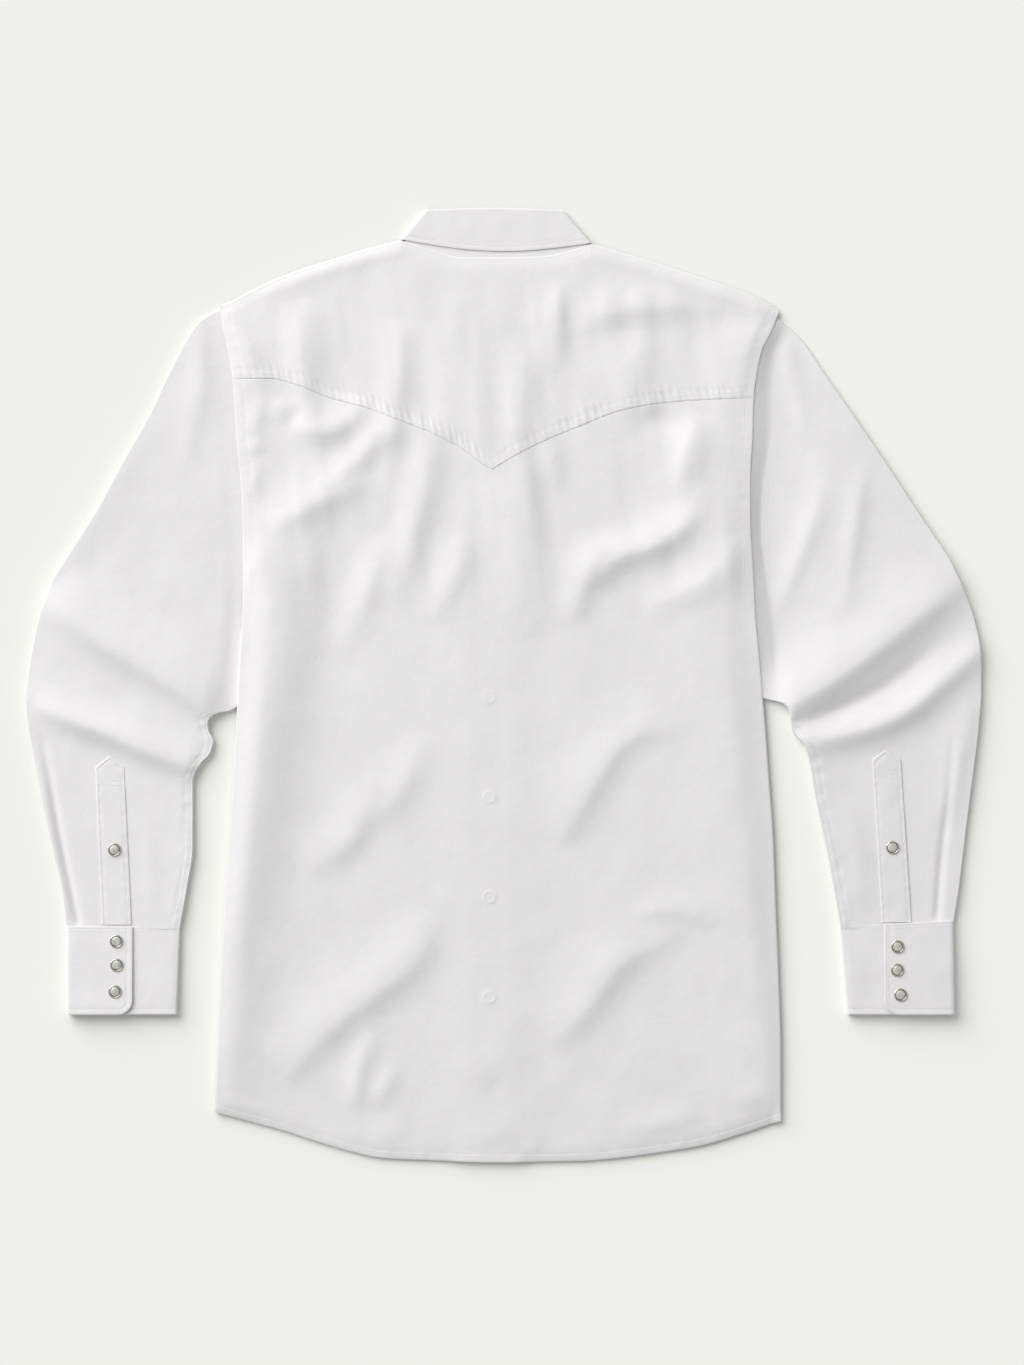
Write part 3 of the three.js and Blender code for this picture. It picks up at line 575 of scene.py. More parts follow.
class BodyField:
    """Height of the laid body's cloth over the table, in millimetres."""

    level = 5.4
    band_rise = 1.2
    band_low = -31.0
    band_high = 4.0
    band_fade = 40.0
    edge_level = 3.8
    side_level = 4.8
    snap_x = -13.5
    snap_rings = ((175, 0.1), (82, 0.1), (-11, 0.2), (-104, 0.3), (-197, 0.3), (-290, 0.3))
    ring_width = 6.5
    ring_hollow = 3.2
    right_slope_at = (-400, -350, -240, -120, 0, 180, 300, 350)
    right_slope = (12, 16, 24, 27, 30, 26, 20, 12)

    def __init__(self) -> None:
        """Sets up the seeded unevenness."""
        self.broad = Ripple(11, 38, 52)
        self.middle = Ripple(12, 15, 22)
        self.small = Ripple(13, 6.5, 9)
        self.pucker = Ripple(14, 4.4, 12)
        self.streak = Ripple(15, 16, 78)

    def base(self, x: Array, y: Array) -> Array:
        """Level of the cloth without its creases."""
        fade = self.band_fade
        band = soft_step(self.band_low - fade, self.band_low + 2, x)
        band = band * (1 - soft_step(self.band_high - 1, self.band_high + fade, x))
        level = self.level + self.band_rise * band * soft_step(330, 250, y)
        from_right = OUTLINE.right(y) - x
        armhole = soft_step(40, 110, y) * soft_step(352, 300, y)
        level = level + 2.2 * armhole * bell(from_right, 50)
        collar = soft_step(-128, -100, x) * soft_step(116, 90, x) * soft_step(300, 350, y)
        return level + 0.8 * collar

    def noise(self, x: Array, y: Array) -> Array:
        """Slight unevenness of laid cotton."""
        even = 0.42 * self.broad.at(x, y) + 0.13 * self.middle.at(x, y)
        even = even + 0.016 * self.small.at(x, y)
        drawn = soft_step(20, 150, y) * soft_step(395, 340, y)
        return even + 0.62 * drawn * self.streak.at(x + 0.12 * y, y)

    def front_snaps(self, x: Array, y: Array) -> Array:
        """Rings that the front snaps press through the back, and the closing band's edges.

        The rings are y and height of each.
        """
        rise = np.zeros(np.shape(x))
        for centre, height in self.snap_rings:
            gap = np.hypot(x - self.snap_x, y - centre)
            rise += height * (bell(gap, self.ring_width, 4) - 0.45 * bell(gap, self.ring_hollow))
        edge = bell(x - self.band_high, 2.6) + 0.7 * bell(x - self.band_low, 2.6)
        return rise + 0.05 * edge * soft_step(180, 60, y)

    def sides(self, x: Array, y: Array, height: Array) -> Array:
        """Slopes the cloth down to its side edges and turns it under there."""
        from_left = np.maximum(x - OUTLINE.left(y), 0)
        from_right = np.maximum(OUTLINE.right(y) - x, 0)
        below = soft_step(90, 20, y)
        sleeved = soft_step(-25, 60, y) * soft_step(352, 310, y)
        left_rise = 5.0 * soft_step(130, 20, y) * soft_step(-430, -330, y)
        left_level = self.side_level + left_rise - 0.5 * sleeved
        right_level = self.side_level + 1.4 * below + 2.9 * sleeved
        left_width = 12 + 16 * soft_step(240, 130, y) - 4 * below
        right_width = smooth_curve(self.right_slope_at, self.right_slope, y)
        left_ramp = climb(from_left, left_width, 1.6)
        right_ramp = climb(from_right, right_width, 1.45)
        ramp = left_level + (height - left_level) * left_ramp
        ramp = right_level + (ramp - right_level) * right_ramp
        left_turn = (1 - rounded(from_left, 0.6)) * (0.4 + (left_level - 2.4) * below)
        right_turn = (1 - rounded(from_right, 1.3)) * (0.3 + (right_level - 2.7) * below)
        return ramp - left_turn - right_turn


CLOTH = BodyField()
BODY_CREASES = [
    Crease(
        ((278, 508, 0), (277, 548, 4.2), (275, 590, 6.2), (271, 640, 7.8), (264, 700, 9.4),
         (250, 800, 9.9), (238, 880, 9.6), (228, 960, 8.6), (224, 1040, 6.9), (222, 1100, 3.4)), 37, 40,
    ),
    Crease(((334, 515, 0), (336, 555, -2), (334, 605, -2.6), (330, 660, -2), (322, 715, 0)), 44, 26),
    Crease(
        ((724, 400, 0), (724, 480, 3.1), (726, 600, 4.5), (728, 720, 4.5), (738, 850, 4),
         (752, 960, 3.6), (762, 1080, 2.7)), 40, 50,
    ),
    Crease(((226, 312, 0.8), (248, 347, 3.1), (258, 376, 2.1)), 14, 11),
    Crease(((297, 300, 0), (301, 335, 3.7), (303, 370, 4.3), (304, 400, 2.8)), 16, 17.5),
    Crease(((404, 318, 0), (400, 350, 2.5), (397, 390, 3.7), (393, 432, 3.4)), 12.5, 22),
    Crease(((440, 320, 0), (443, 360, 2), (449, 420, 1.8), (452, 445, 0.9)), 19, 19),
    Crease(((476, 310, 0), (477, 360, 1.4), (477, 430, 1.8), (478, 458, 1.2)), 16, 17.5),
    Crease(((556, 280, 0), (557, 310, 2.3), (556, 350, 1.7), (553, 375, 0)), 10, 12.5),
    Crease(((524, 335, 0), (523, 370, 1.7), (520, 420, 1.2)), 12.5, 15),
    Crease(((630, 330, 0), (632, 365, 3.3), (633, 400, 2.8)), 17.5, 20),
    Crease(
        ((575, 335, 0), (595, 319, 2), (625, 309, 3.1), (662, 306, 3.1), (705, 308, 1.4),
         (725, 312, 0)), 19, 14,
    ),
    Crease(((752, 318, 0.6), (750, 345, 2.3), (742, 388, 2)), 11, 27.5),
    Crease(((255, 293, 0.3), (300, 276, 1.4), (350, 257, 2), (398, 244, 1.4)), 7.5, 11),
    Crease(((600, 247, 0.9), (640, 262, 1.7), (700, 281, 2), (755, 302, 1.1)), 7.5, 11),
    Crease(
        ((292, 420, 0), (306, 427, 3.7), (326, 431, 4.8), (345, 423, 4.5), (358, 407, 2.1),
         (362, 396, 0)), 17.5, 12.5,
    ),
    Crease(((318, 490, 0), (342, 472, 3), (366, 452, 3.7), (384, 426, 1.4)), 14, 12.5),
    Crease(((264, 392, 0.4), (255, 424, 1.4), (252, 436, 0)), 7.5, 9),
    Crease(((262, 424, 0), (256, 446, 1.2), (252, 458, 0)), 7.5, 9),
    Crease(((262, 455, 0), (254, 480, 1.4), (246, 500, 0.2)), 7.5, 9),
    Crease(((280, 396, 0), (280, 409, 1.1), (276, 424, 0)), 10, 10),
    Crease(((268, 532, 0), (284, 520, 3.3), (318, 502, 5.1), (354, 486, 3), (376, 474, 0)), 19, 15),
    Crease(((254, 545, 0), (250, 570, 2), (242, 595, 0)), 9, 7.5),
    Crease(
        ((432, 432, 2.9), (427, 470, 4.2), (420, 510, 4.5), (411, 545, 3.7), (400, 580, 2.3),
         (388, 612, 0)), 15.5, 19,
    ),
    Crease(((392, 436, 1.4), (388, 470, 2.4), (384, 510, 0.9), (380, 530, 0)), 11, 14),
    Crease(((378, 535, 0), (377, 560, 2.1), (368, 590, 2.8), (350, 635, 1.4), (338, 665, 0)), 12.5, 16),
    Crease(((464, 530, 0), (459, 560, 2.3), (448, 590, 2.7), (434, 630, 0)), 14, 16),
    Crease(
        ((518, 436, 2.4), (525, 490, 3.7), (531, 540, 3.3), (536, 585, 2.4), (541, 640, 0)), 16, 32.5,
    ),
    Crease(((646, 410, 0), (662, 420, -3), (680, 432, -0.8)), 12.5, 12.5),
    Crease(((700, 412, 0), (692, 435, 3.7), (685, 462, 4), (680, 500, 0)), 20, 11),
    Crease(((546, 438, 0.9), (552, 460, 2.1), (560, 490, 0)), 10, 12.5),
    Crease(((604, 535, 0), (592, 562, 2.8), (580, 595, 3.3), (572, 630, 0)), 12.5, 16),
    Crease(
        ((596, 592, 0), (604, 572, 4.3), (620, 556, 6.2), (642, 549, 6.3), (664, 540, 6.2),
         (684, 525, 5.1), (694, 505, 1.9), (700, 485, 0)), 20, 14,
    ),
    Crease(((640, 610, 0), (672, 598, 2.4), (704, 582, 2.8), (728, 560, 0.9)), 14, 15),
    Crease(((734, 535, 0), (733, 560, 1.8), (738, 600, 0)), 10, 10),
    Crease(
        ((300, 872, 0), (320, 860, 2), (342, 845, 3.2), (357, 829, 3.4), (366, 806, 2.7),
         (375, 770, 0.7)), 24, 14.5,
    ),
    Crease(
        ((372, 826, 0), (388, 806, 2.3), (404, 783, 2.9), (420, 750, 1.7), (428, 730, 0)), 16.5, 14.5,
    ),
    Crease(
        ((556, 850, 0), (568, 827, 2.3), (586, 796, 3.4), (604, 766, 3.8), (620, 745, 3.4),
         (640, 732, 2.6), (664, 731, 1.3), (690, 738, 0)), 25.5, 13,
    ),
    Crease(
        ((278, 1082, 0), (297, 1062, 2.7), (325, 1032, 4.3), (352, 1009, 4.5), (379, 989, 4.5),
         (406, 968, 4.1), (424, 943, 2.7), (434, 912, 0.7)), 31.5, 15.5,
    ),
    Crease(((352, 1112, 0), (356, 1090, 2.3), (361, 1062, 2.5), (374, 1032, 0.4)), 10, 11),
    Crease(((376, 1112, 0), (384, 1090, 1.9), (397, 1062, 0.4)), 10, 11),
    Crease(
        ((546, 1046, 0), (564, 1030, 2.5), (585, 1010, 3.9), (600, 988, 4.1), (615, 967, 3.9),
         (638, 951, 2.9), (668, 935, 1.5), (688, 922, 0)), 28.5, 14.5,
    ),
    Crease(((632, 922, 0), (650, 911, 1.6), (672, 908, 1.9), (694, 914, 1.6), (710, 932, 0)), 13, 11),
    Crease(((620, 1128, 0), (645, 1126, 1.3), (684, 1117, 1.2), (705, 1108, 0)), 13, 11),
    Crease(((730, 1098, 0), (752, 1097, 1.2), (776, 1098, 0.6)), 13, 10),
    Crease(((455, 1136, 0), (488, 1134, 1), (520, 1136, 0)), 14.5, 11),
    Crease(((365, 1134, 0), (388, 1134, 1), (412, 1138, 0)), 14.5, 11),
    Crease(((455, 1062, 0), (478, 1066, 0.9), (500, 1080, 0)), 14.5, 14.5),
]


@dataclass(frozen=True)
class Fineness:
    """Distances of the fine rows beside each piece's edges, in millimetres, nearest first."""

    back_side: Run = (0, 0.35, 0.9, 1.8, 3, 4.6, 6.4, 7.6, 8.5, 9.4, 10.8, 13)
    back_low: Run = (0, 0.35, 0.9, 1.8, 3, 4.4, 5.4, 6.1, 6.8, 7.6, 9, 11)
    back_top: Run = (0, 5, 6.6, 7.3, 7.7, 8.1, 8.6, 9.6)
    yoke_side: Run = (0, 0.35, 0.9, 1.8, 3, 4.4, 5.8, 7, 8, 9, 10, 11.4, 13)
    yoke_low: Run = (0, 0.3, 0.8, 1.6, 2.8, 4.2, 5.6, 6.8, 7.8, 8.6, 9.4, 10.2, 11.2, 12.6, 14.4)
    yoke_top: Run = (0, 0.35, 0.9, 1.8, 3, 4.6, 6.6)
    sleeve: Run = (0, 0.25, 0.8, 1.7, 2.6, 3.6, 5.2, 6.8, 8.2, 9.6, 11.4)
    cuff_side: Run = (0, 0.3, 0.9, 1.8, 3, 4.2, 5.2, 6.2, 7.2, 8.6, 10.6, 13.5)
    cuff_end: Run = (0, 0.3, 0.9, 1.8, 3, 4.2, 5.2, 6.2, 7.2, 8.6, 10.6, 13)
    placket: Run = (0, 0.3, 0.9, 1.8, 2.8, 3.8)
    band: Run = (0, 0.3, 0.9, 1.8, 2.6, 3.6, 5)


FINE = Fineness()


@dataclass
class Body:
    """Back panel and yoke: the upper side of the laid shirt."""

    plan: Plan
    cloth: float = 0.62
    lap: float = 9.0
    back_cell: float = 3.3
    back_row: float = 2.7
    yoke_cell: float = 1.45
    yoke_row: float = 2.3
    hem_width: float = 6.5
    seam_inset: float = 8.5
    back_length: float = 650
    yoke_length: float = 130
    tuck: float = 0.75
    yoke_ply: float = 0.34
    hem_slope: float = 16
    shoulder_slope: float = 14

    def surface(self, x: Array, y: Array) -> Array:
        """Height of the back's cloth before its edges turn down."""
        laid = CLOTH.base(x, y) + crease_field(BODY_CREASES, x, y)
        return laid + CLOTH.noise(x, y) + CLOTH.front_snaps(x, y)

    def armhole_seam(self, x: Array, y: Array) -> Array:
        """Groove of the armhole topstitching and the puckers outside it."""
        upper = soft_step(60, 110, y)
        gap = np.minimum(x - OUTLINE.left(y), OUTLINE.right(y) - x)
        groove = -0.16 * bell(gap - self.seam_inset, 1.5)
        strip = 0.1 * bell(gap - 4, 3.2, 4)
        pucker = 0.27 * CLOTH.pucker.at(y, gap) * bell(gap - 6, 6)
        return upper * (groove + strip + pucker)

    def hem_seam(self, x: Array, y: Array) -> Array:
        """Thicker turned hem and its row of stitching."""
        above = y - OUTLINE.hem(x)
        thick = 0.25 * soft_step(self.hem_width + 0.8, self.hem_width - 0.6, above)
        groove = -0.12 * bell(above - self.hem_width + 0.6, 1.0)
        pucker = 0.22 * CLOTH.pucker.at(x, above) * bell(above - 6, 6)
        return thick + groove + pucker

    def back_height(self, x: Array, y: Array) -> Array:
        """Height of the back panel's upper face."""
        height = self.surface(x, y) + self.armhole_seam(x, y)
        above = y - OUTLINE.hem(x)
        band = soft_step(-58, -34, x) * soft_step(34, 8, x)
        level = CLOTH.edge_level + 2.5 * band
        low = 2.9 + 2.6 * band
        ramp = climb(above, self.hem_slope, 1.8)
        height = level + (height - level) * ramp - (level - low) * (1 - rounded(above, 1.4))
        return CLOTH.sides(x, y, height) + self.hem_seam(x, y)

    def back_grid(self) -> Array:
        """Grid of the back panel's upper face, its top rows tucked under the yoke."""
        across = edge_steps(OUTLINE.mean_width, FINE.back_side, self.back_cell) / OUTLINE.mean_width
        rows = RowSet.between(FINE.back_low, FINE.back_top, self.back_length / self.back_row)
        x, y = OUTLINE.place(across, rows, OUTLINE.hem, lambda at: OUTLINE.yoke(at) + self.lap - 1)
        z = self.back_height(x, y)
        under = soft_step(0.5, -0.7, OUTLINE.yoke(x) - y)
        return np.stack([x, y, z - self.tuck * under], -1)

    def yoke_seam(self, x: Array, y: Array) -> Array:
        """Raised lap along the yoke's edge, its row of stitching and the puckers that it draws."""
        above = y - OUTLINE.yoke(x)
        slope = np.gradient(OUTLINE.yoke(x), axis=1) / np.maximum(np.gradient(x, axis=1), 1e-6)
        clear = above / np.sqrt(1 + slope * slope)
        groove = -0.14 * bell(clear - self.lap, 1.4)
        strip = 0.08 * bell(clear - 4.5, 3.6, 4)
        draw = 0.55 + 0.75 * np.clip(0.5 + CLOTH.broad.at(x * 1.7, y * 1.3), 0, 1)
        wave = CLOTH.pucker.at(x + 0.35 * clear, clear)
        beat = np.sin(x * 0.98 + 0.3 * clear + 2.4 * CLOTH.middle.at(x, 0 * y))
        pucker = (0.3 * wave + 0.22 * beat) * draw * bell(clear - 6.5, 6.5)
        return groove + strip + pucker

    def yoke_height(self, x: Array, y: Array) -> Array:
        """Height of the yoke's upper face."""
        height = self.surface(x, y) + self.armhole_seam(x, y) + self.yoke_seam(x, y)
        above = y - OUTLINE.yoke(x)
        height = height + self.yoke_ply - 0.2 * (1 - rounded(above, 0.8))
        below = OUTLINE.shoulder(x) - y
        in_neck = (x > OUTLINE.neck_ends[0]) & (x < OUTLINE.neck_ends[1])
        shoulder = np.where(in_neck, 4.9, 4.2)
        height = shoulder + (height - shoulder) * climb(below, self.shoulder_slope, 1.7)
        height = height - np.where(in_neck, 0.3, 1.6) * (1 - rounded(below, 0.9))
        return CLOTH.sides(x, y, height)

    def yoke_grid(self) -> Array:
        """Grid of the yoke's upper face."""
        across = edge_steps(OUTLINE.mean_width, FINE.yoke_side, self.yoke_cell) / OUTLINE.mean_width
        rows = RowSet.between(FINE.yoke_low, FINE.yoke_top, self.yoke_length / self.yoke_row)
        x, y = OUTLINE.place(across, rows, OUTLINE.yoke, OUTLINE.shoulder)
        return np.stack([x, y, self.yoke_height(x, y)], -1)

    def build(self) -> tuple[Piece, Piece]:
        """Builds both pieces.

        Returns:
            The back panel and the yoke.
        """
        back = make_shell("back_panel_cloth", self.plan, self.back_grid(), self.cloth)
        return back, make_shell("back_yoke_cloth", self.plan, self.yoke_grid(), self.cloth)


class Ground:
    """Finds the top of what has been built, so that trims and stitches lie on it."""

    sky = 0.1

    def __init__(self, plan: Plan, pieces: list) -> None:
        """Joins the pieces' faces into one tree.

        Args:
            plan: turns drafting millimetres into metres.
            pieces: the pieces that carry trims.
        """
        self.plan = plan
        points = []
        faces = []
        for piece in pieces:
            start = len(points)
            points.extend(v.co.copy() for v in piece.data.vertices)
            faces.extend([start + v for v in p.vertices] for p in piece.data.polygons)
        self.tree = BVHTree.FromPolygons(points, faces)

    def height(self, x: Array, y: Array) -> Array:
        """Height of the highest face at each place of the plan, in millimetres."""
        places = self.plan.metres(np.stack([x, y, np.zeros_like(x)], -1)).reshape(-1, 3)
        out = np.zeros(len(places))
        down = Vector((0, 0, -1))
        for k, (a, b, _) in enumerate(places):
            hit = self.tree.ray_cast(Vector((a, b, self.sky)), down)[0]
            out[k] = hit.z * 1000 if hit is not None else 0.0
        return out.reshape(np.shape(x))


@dataclass
class Sleeve:
    """One sleeve: a flattened tube from the armhole to the cuff.

    Each ring of the tube gives x and y of its inner and outer end, how far it bows towards the
    shoulder, and its height.
    """

    plan: Plan
    hand: Hand
    rings: tuple
    creases: list
    cloth: float = 0.62
    row: float = 3.2
    columns: int = 60
    stitch_insets: tuple[float, float] = (2.6, 8.2)
    lean: float = 38

    def ring_rows(self) -> dict[str, Array]:
        """Ring sizes at even steps down the sleeve."""
        table = np.array(self.rings, float)
        middle = (table[:, :2] + table[:, 2:4]) / 2
        run = run_along(middle)
        at = np.linspace(0, run[-1], int(run[-1] / self.row))
        names = ("inner_x", "inner_y", "outer_x", "outer_y", "bow", "height")
        return {name: smooth_curve(run, table[:, k], at)[:, None] for k, name in enumerate(names)}

    def beside_body(self, height: Array, clear: Array, y: Array) -> Array:
        """Lowers the sleeve beside the body, which lies over its seam.

        Args:
            height: level of the sleeve's upper face.
            clear: distance from the body's side edge.
            y: drafting y of each place.

        Returns:
            The lowered level. On the right a shaded valley runs down the armhole.
        """
        if self.hand is Hand.LEFT:
            share = soft_step(-34, 30, y) * (1 - soft_step(6, 20, clear))
            return height - np.maximum(height - 3.9, 0) * share
        dip = 12.5 + 3 * np.sin(y / 31)
        valley = 0.9 + (height - 0.9) * soft_step(dip, 74, clear)
        wedge = 6.7 + (valley - 6.7) * np.clip(clear / dip, 0, 1) ** 0.9
        return height + (wedge - height) * soft_step(-22, 46, y) * soft_step(349, 325, y)

    def top(self, x: Array, y: Array, height: Array, share: Array) -> Array:
        """Height of the sleeve's upper face before its edges turn down."""
        swell = 0.8 * soft_step(0.3, 0, share) + 0.6 * soft_step(0.6, 0.95, share)
        clear = OUTLINE.left(y) - x if self.hand is Hand.LEFT else x - OUTLINE.right(y)
        free = np.where(y < -30, 1.0, soft_step(3, 30, clear))
        rise = crease_field(self.creases, x, y)
        noise = 0.34 * CLOTH.broad.at(x + 700, y) + 0.1 * CLOTH.middle.at(x, y + 300)
        fine = 0.014 * CLOTH.small.at(x, y)
        return self.beside_body(height, clear, y) + free * (swell + rise + noise) + fine

    def felled_seam(self, distance: Array, y: Array) -> Array:
        """Two grooves of stitching along the sleeve's inner edge, and their puckers."""
        near, far = self.stitch_insets
        grooves = bell(distance - near, 0.9) + bell(distance - far, 1.1)
        wave = CLOTH.pucker.at(y, distance) * bell(distance - 7, 5.5)
        return soft_step(-20, -34, y) * (0.5 * wave - 0.26 * grooves)

    def grid(self) -> Array:
        """Closed rings of the sleeve's outer face."""
        rows = self.ring_rows()
        inner_x, inner_y = rows["inner_x"], rows["inner_y"]
        wide, tall = rows["outer_x"] - inner_x, rows["outer_y"] - inner_y
        span = np.hypot(wide, tall)
        near = np.array(FINE.sleeve)
        even = np.linspace(0, 1, self.columns + 1)[1:-1]
        zeros = np.zeros(len(near))
        start = np.concatenate([near, np.full(len(even), near[-1]), zeros])
        lift = np.concatenate([zeros, even, np.ones(len(near))])
        end = np.concatenate([zeros, np.full(len(even), near[-1]), near[::-1]])
        distance = start[None, :] * (1 - lift) + (span - end[None, :]) * lift
        share = np.clip(distance / span, 0, 1)
        bend = rows["bow"] * np.maximum(np.sin(np.pi * share**1.6), 0) ** 0.6 / span
        x = inner_x + wide * share - self.hand.way * bend * np.abs(tall)
        y = inner_y + tall * share
        height = self.top(x, y, rows["height"], share) + self.felled_seam(distance, y)
        radius = 0.12 * height
        turned = rounded(distance, radius) * rounded(span - distance, radius)
        middle = np.minimum(height / 2, 3.4)
        top = np.stack([x, y, middle + (height - middle) * turned], -1)
        low_turn = rounded(distance, middle) * rounded(span - distance, middle)
        under = np.stack([x, y, middle - (middle - 0.25) * low_turn], -1)[:, 1:-1][:, ::-1]
        return np.concatenate([top, under[:, :6], under[:, 6:-6:4], under[:, -6:]], axis=1)

    def build(self) -> Piece:
        """Builds the sleeve's cloth."""
        grid = self.grid()
        grid = facing_up(grid, len(grid) // 2, self.columns // 2, True)
        lean = -self.hand.way * self.lean
        return make_shell(f"{self.hand.value}_sleeve_cloth", self.plan, grid, self.cloth, True, lean)


@dataclass
class Cuff:
    """Barrel cuff: a stiff band lapped over itself, with a rounded corner on the lap.

    Edges are drafting x at the cuff's top and bottom, and y of the top at both ends.
    """

    plan: Plan
    hand: Hand
    outer: tuple[float, float]
    inner: tuple[float, float]
    lap_edge: float
    top_outer: float
    top_inner: float
    snaps: tuple
    bottom: float = -306.0
    stand: float = 8.5
    under: float = 6.6
    cloth: float = 1.3
    lap: float = 24.0
    corner: float = 13.5
    length: float = 82.0
    cell: float = 3.0
    side_reach: float = 0.45
    mouth_rise: float = 0.4

    def turned_side(self, thick: float, first: float, last: float) -> Array:
        """How far and how high a side of the band turns, from one angle to another.

        Args:
            thick: height of the turn.
            first: angle of the first step in degrees, 90 at the top.
            last: angle of the last step.

        Returns:
            Reach and height of each step.
        """
        way = np.radians(np.linspace(first, last, 12))
        half = thick / 2
        return np.stack([self.side_reach * half * (1 - np.cos(way)), half + half * np.sin(way)], -1)

    def columns(self) -> list[tuple[float, float, float, float, float, float]]:
        """Columns round the band.

        Returns:
            For each column its share of the outer and of the inner edge's x, the x that is added,
            its height, how far the rounded corner lifts its foot, and its distance from the lap's
            edge.
        """
        side = self.hand.way
        far = 50.0
        out = []
        width = abs(self.outer[0] - self.lap_edge) - self.stand / 2
        for inset in edge_steps(width, FINE.cuff_side, self.cell):
            share = max(1 - inset / self.corner, 0)
            lift = self.corner * (1 - math.sqrt(max(1 - share * share, 0)))
            out.append((0, 0, self.lap_edge + side * inset, self.stand, lift, inset))
        out += [(1, 0, -side * reach, z, 0, far) for reach, z in self.turned_side(self.stand, 75, -90)]
        out += [(1 - share, share, 0, 0, 0, far) for share in np.linspace(0.06, 0.94, 24)]
        out += [(0, 1, side * reach, z, 0, far) for reach, z in self.turned_side(self.under, -90, 90)]
        start = side * self.side_reach * self.under / 2
        goal = self.lap_edge + side * self.lap
        for share in np.linspace(0.1, 1, 22):
            out.append((0, 1 - share, start * (1 - share) + goal * share, self.under, 0, far))
        return out

    def surface(self, x: Array, y: Array, top: Array, foot: float, inset: float) -> Array:
        """Rolled edges, stitching grooves and slight waves of the cuff's upper layers."""
        edge = np.minimum(y - foot, inset)
        rim = -0.4 * (1 - rounded(edge, 0.8)) - 0.2 * bell(edge - 5.6, 0.9)
        wave = 0.25 * CLOTH.middle.at(x, y) + 0.05 * CLOTH.small.at(x, y)
        head = -0.25 * (1 - rounded(top - y, 1.0))
        return rim + wave + head + 0.12 * CLOTH.pucker.at(x + y, edge) * bell(edge - 4, 5)

    def grid(self) -> Array:
        """Grid of the band's outer face."""
        down = edge_steps(self.length, FINE.cuff_end, self.cell) / self.length
        outer = self.outer[0] + (self.outer[1] - self.outer[0]) * down
        inner = self.inner[0] + (self.inner[1] - self.inner[0]) * down
        columns = []
        for outer_share, inner_share, added, z, lift, inset in self.columns():
            x = outer_share * outer + inner_share * inner + added
            across = np.clip((x - inner) / (outer - inner), 0, 1)
            top = self.top_inner + (self.top_outer - self.top_inner) * across
            foot = self.bottom + lift
            y = top + (foot - top) * down
            height = z * (1 + self.mouth_rise * down)
            if z > self.cloth * 2:
                height = height + self.surface(x, y, top, foot, inset)
            columns.append(np.stack([x, y, height], -1))
        return np.stack(columns, 1)

    def build(self) -> Piece:
        """Builds the cuff's band."""
        grid = facing_up(self.grid(), 10, 8)
        return make_shell(f"{self.hand.value}_cuff_band", self.plan, grid, self.cloth)


@dataclass
class SleevePlacket:
    """Pointed placket sewn on a sleeve's vent.

    The apex is a point. Top and end give the left x, the right x and the y of the straight part.
    """

    plan: Plan
    hand: Hand
    apex: tuple[float, float]
    top: Triple
    end: Triple
    snap: tuple[float, float]
    rise: float = 0.95
    cloth: float = 0.7
    length: float = 150.0
    box_drops: tuple[float, float] = (12.5, 17.0)

    def edges(self, y: Array) -> tuple[Array, Array]:
        """Left and right edge of the straight part at each y."""
        share = (self.top[2] - y) / (self.top[2] - self.end[2])
        left = self.top[0] + (self.end[0] - self.top[0]) * share
        return left, self.top[1] + (self.end[1] - self.top[1]) * share

    @staticmethod
    def calmed(base: Array) -> Array:
        """The sleeve's surface with its small dents evened out."""
        calm = base.copy()
        for _ in range(3):
            padded = np.pad(calm, 1, mode="edge")
            beside = padded[:-2, 1:-1] + padded[2:, 1:-1] + padded[1:-1, :-2] + padded[1:-1, 2:]
            calm = beside / 4
        return np.maximum(calm, base - 0.2)

    def build(self, ground: Ground) -> Piece:
        """Builds the placket on the sleeve.

        Args:
            ground: the sleeve's surface.

        Returns:
            The placket's cloth.
        """
        width = self.top[1] - self.top[0]
        u = (edge_steps(width, FINE.placket, 1.6) / width)[None, :]
        v = (edge_steps(self.length, FINE.placket, 2.0) / self.length)[:, None]
        peak = (self.apex[1] - self.top[2]) * (1 - np.abs(2 * u - 1))
        y = self.top[2] + peak + (self.end[2] - self.top[2] - peak) * v
        left, right = self.edges(y)
        x = left + (right - left) * u
        slant = 1 - 2 * np.abs(u - 0.5)
        from_end = self.length * v * (0.45 + 0.55 * slant) + 1e-6
        edge = np.minimum(np.minimum(u, 1 - u) * width, from_end)
        z = self.calmed(ground.height(x, y)) + self.rise * (0.4 + 0.6 * rounded(edge, 0.9))
        z = z - 0.28 * bell(edge - 2.6, 0.9)
        for drop in self.box_drops:
            z = z - 0.26 * bell(self.top[2] - drop - y, 1.0)
        z = z + 0.3 * CLOTH.middle.at(x, y) + 0.24 * CLOTH.pucker.at(y, x) * bell(edge - 2.5, 3)
        grid = np.stack([x, y, z], -1)[::-1]
        return make_shell(f"{self.hand.value}_sleeve_placket_cloth", self.plan, grid, self.cloth)


def edge_share(count: int) -> Array:
    """Shares from just over 0 to 1, finer at both ends."""
    even = np.linspace(0, 1, count)
    return 0.04 + 0.96 * (0.5 - 0.5 * np.cos(np.pi * even))


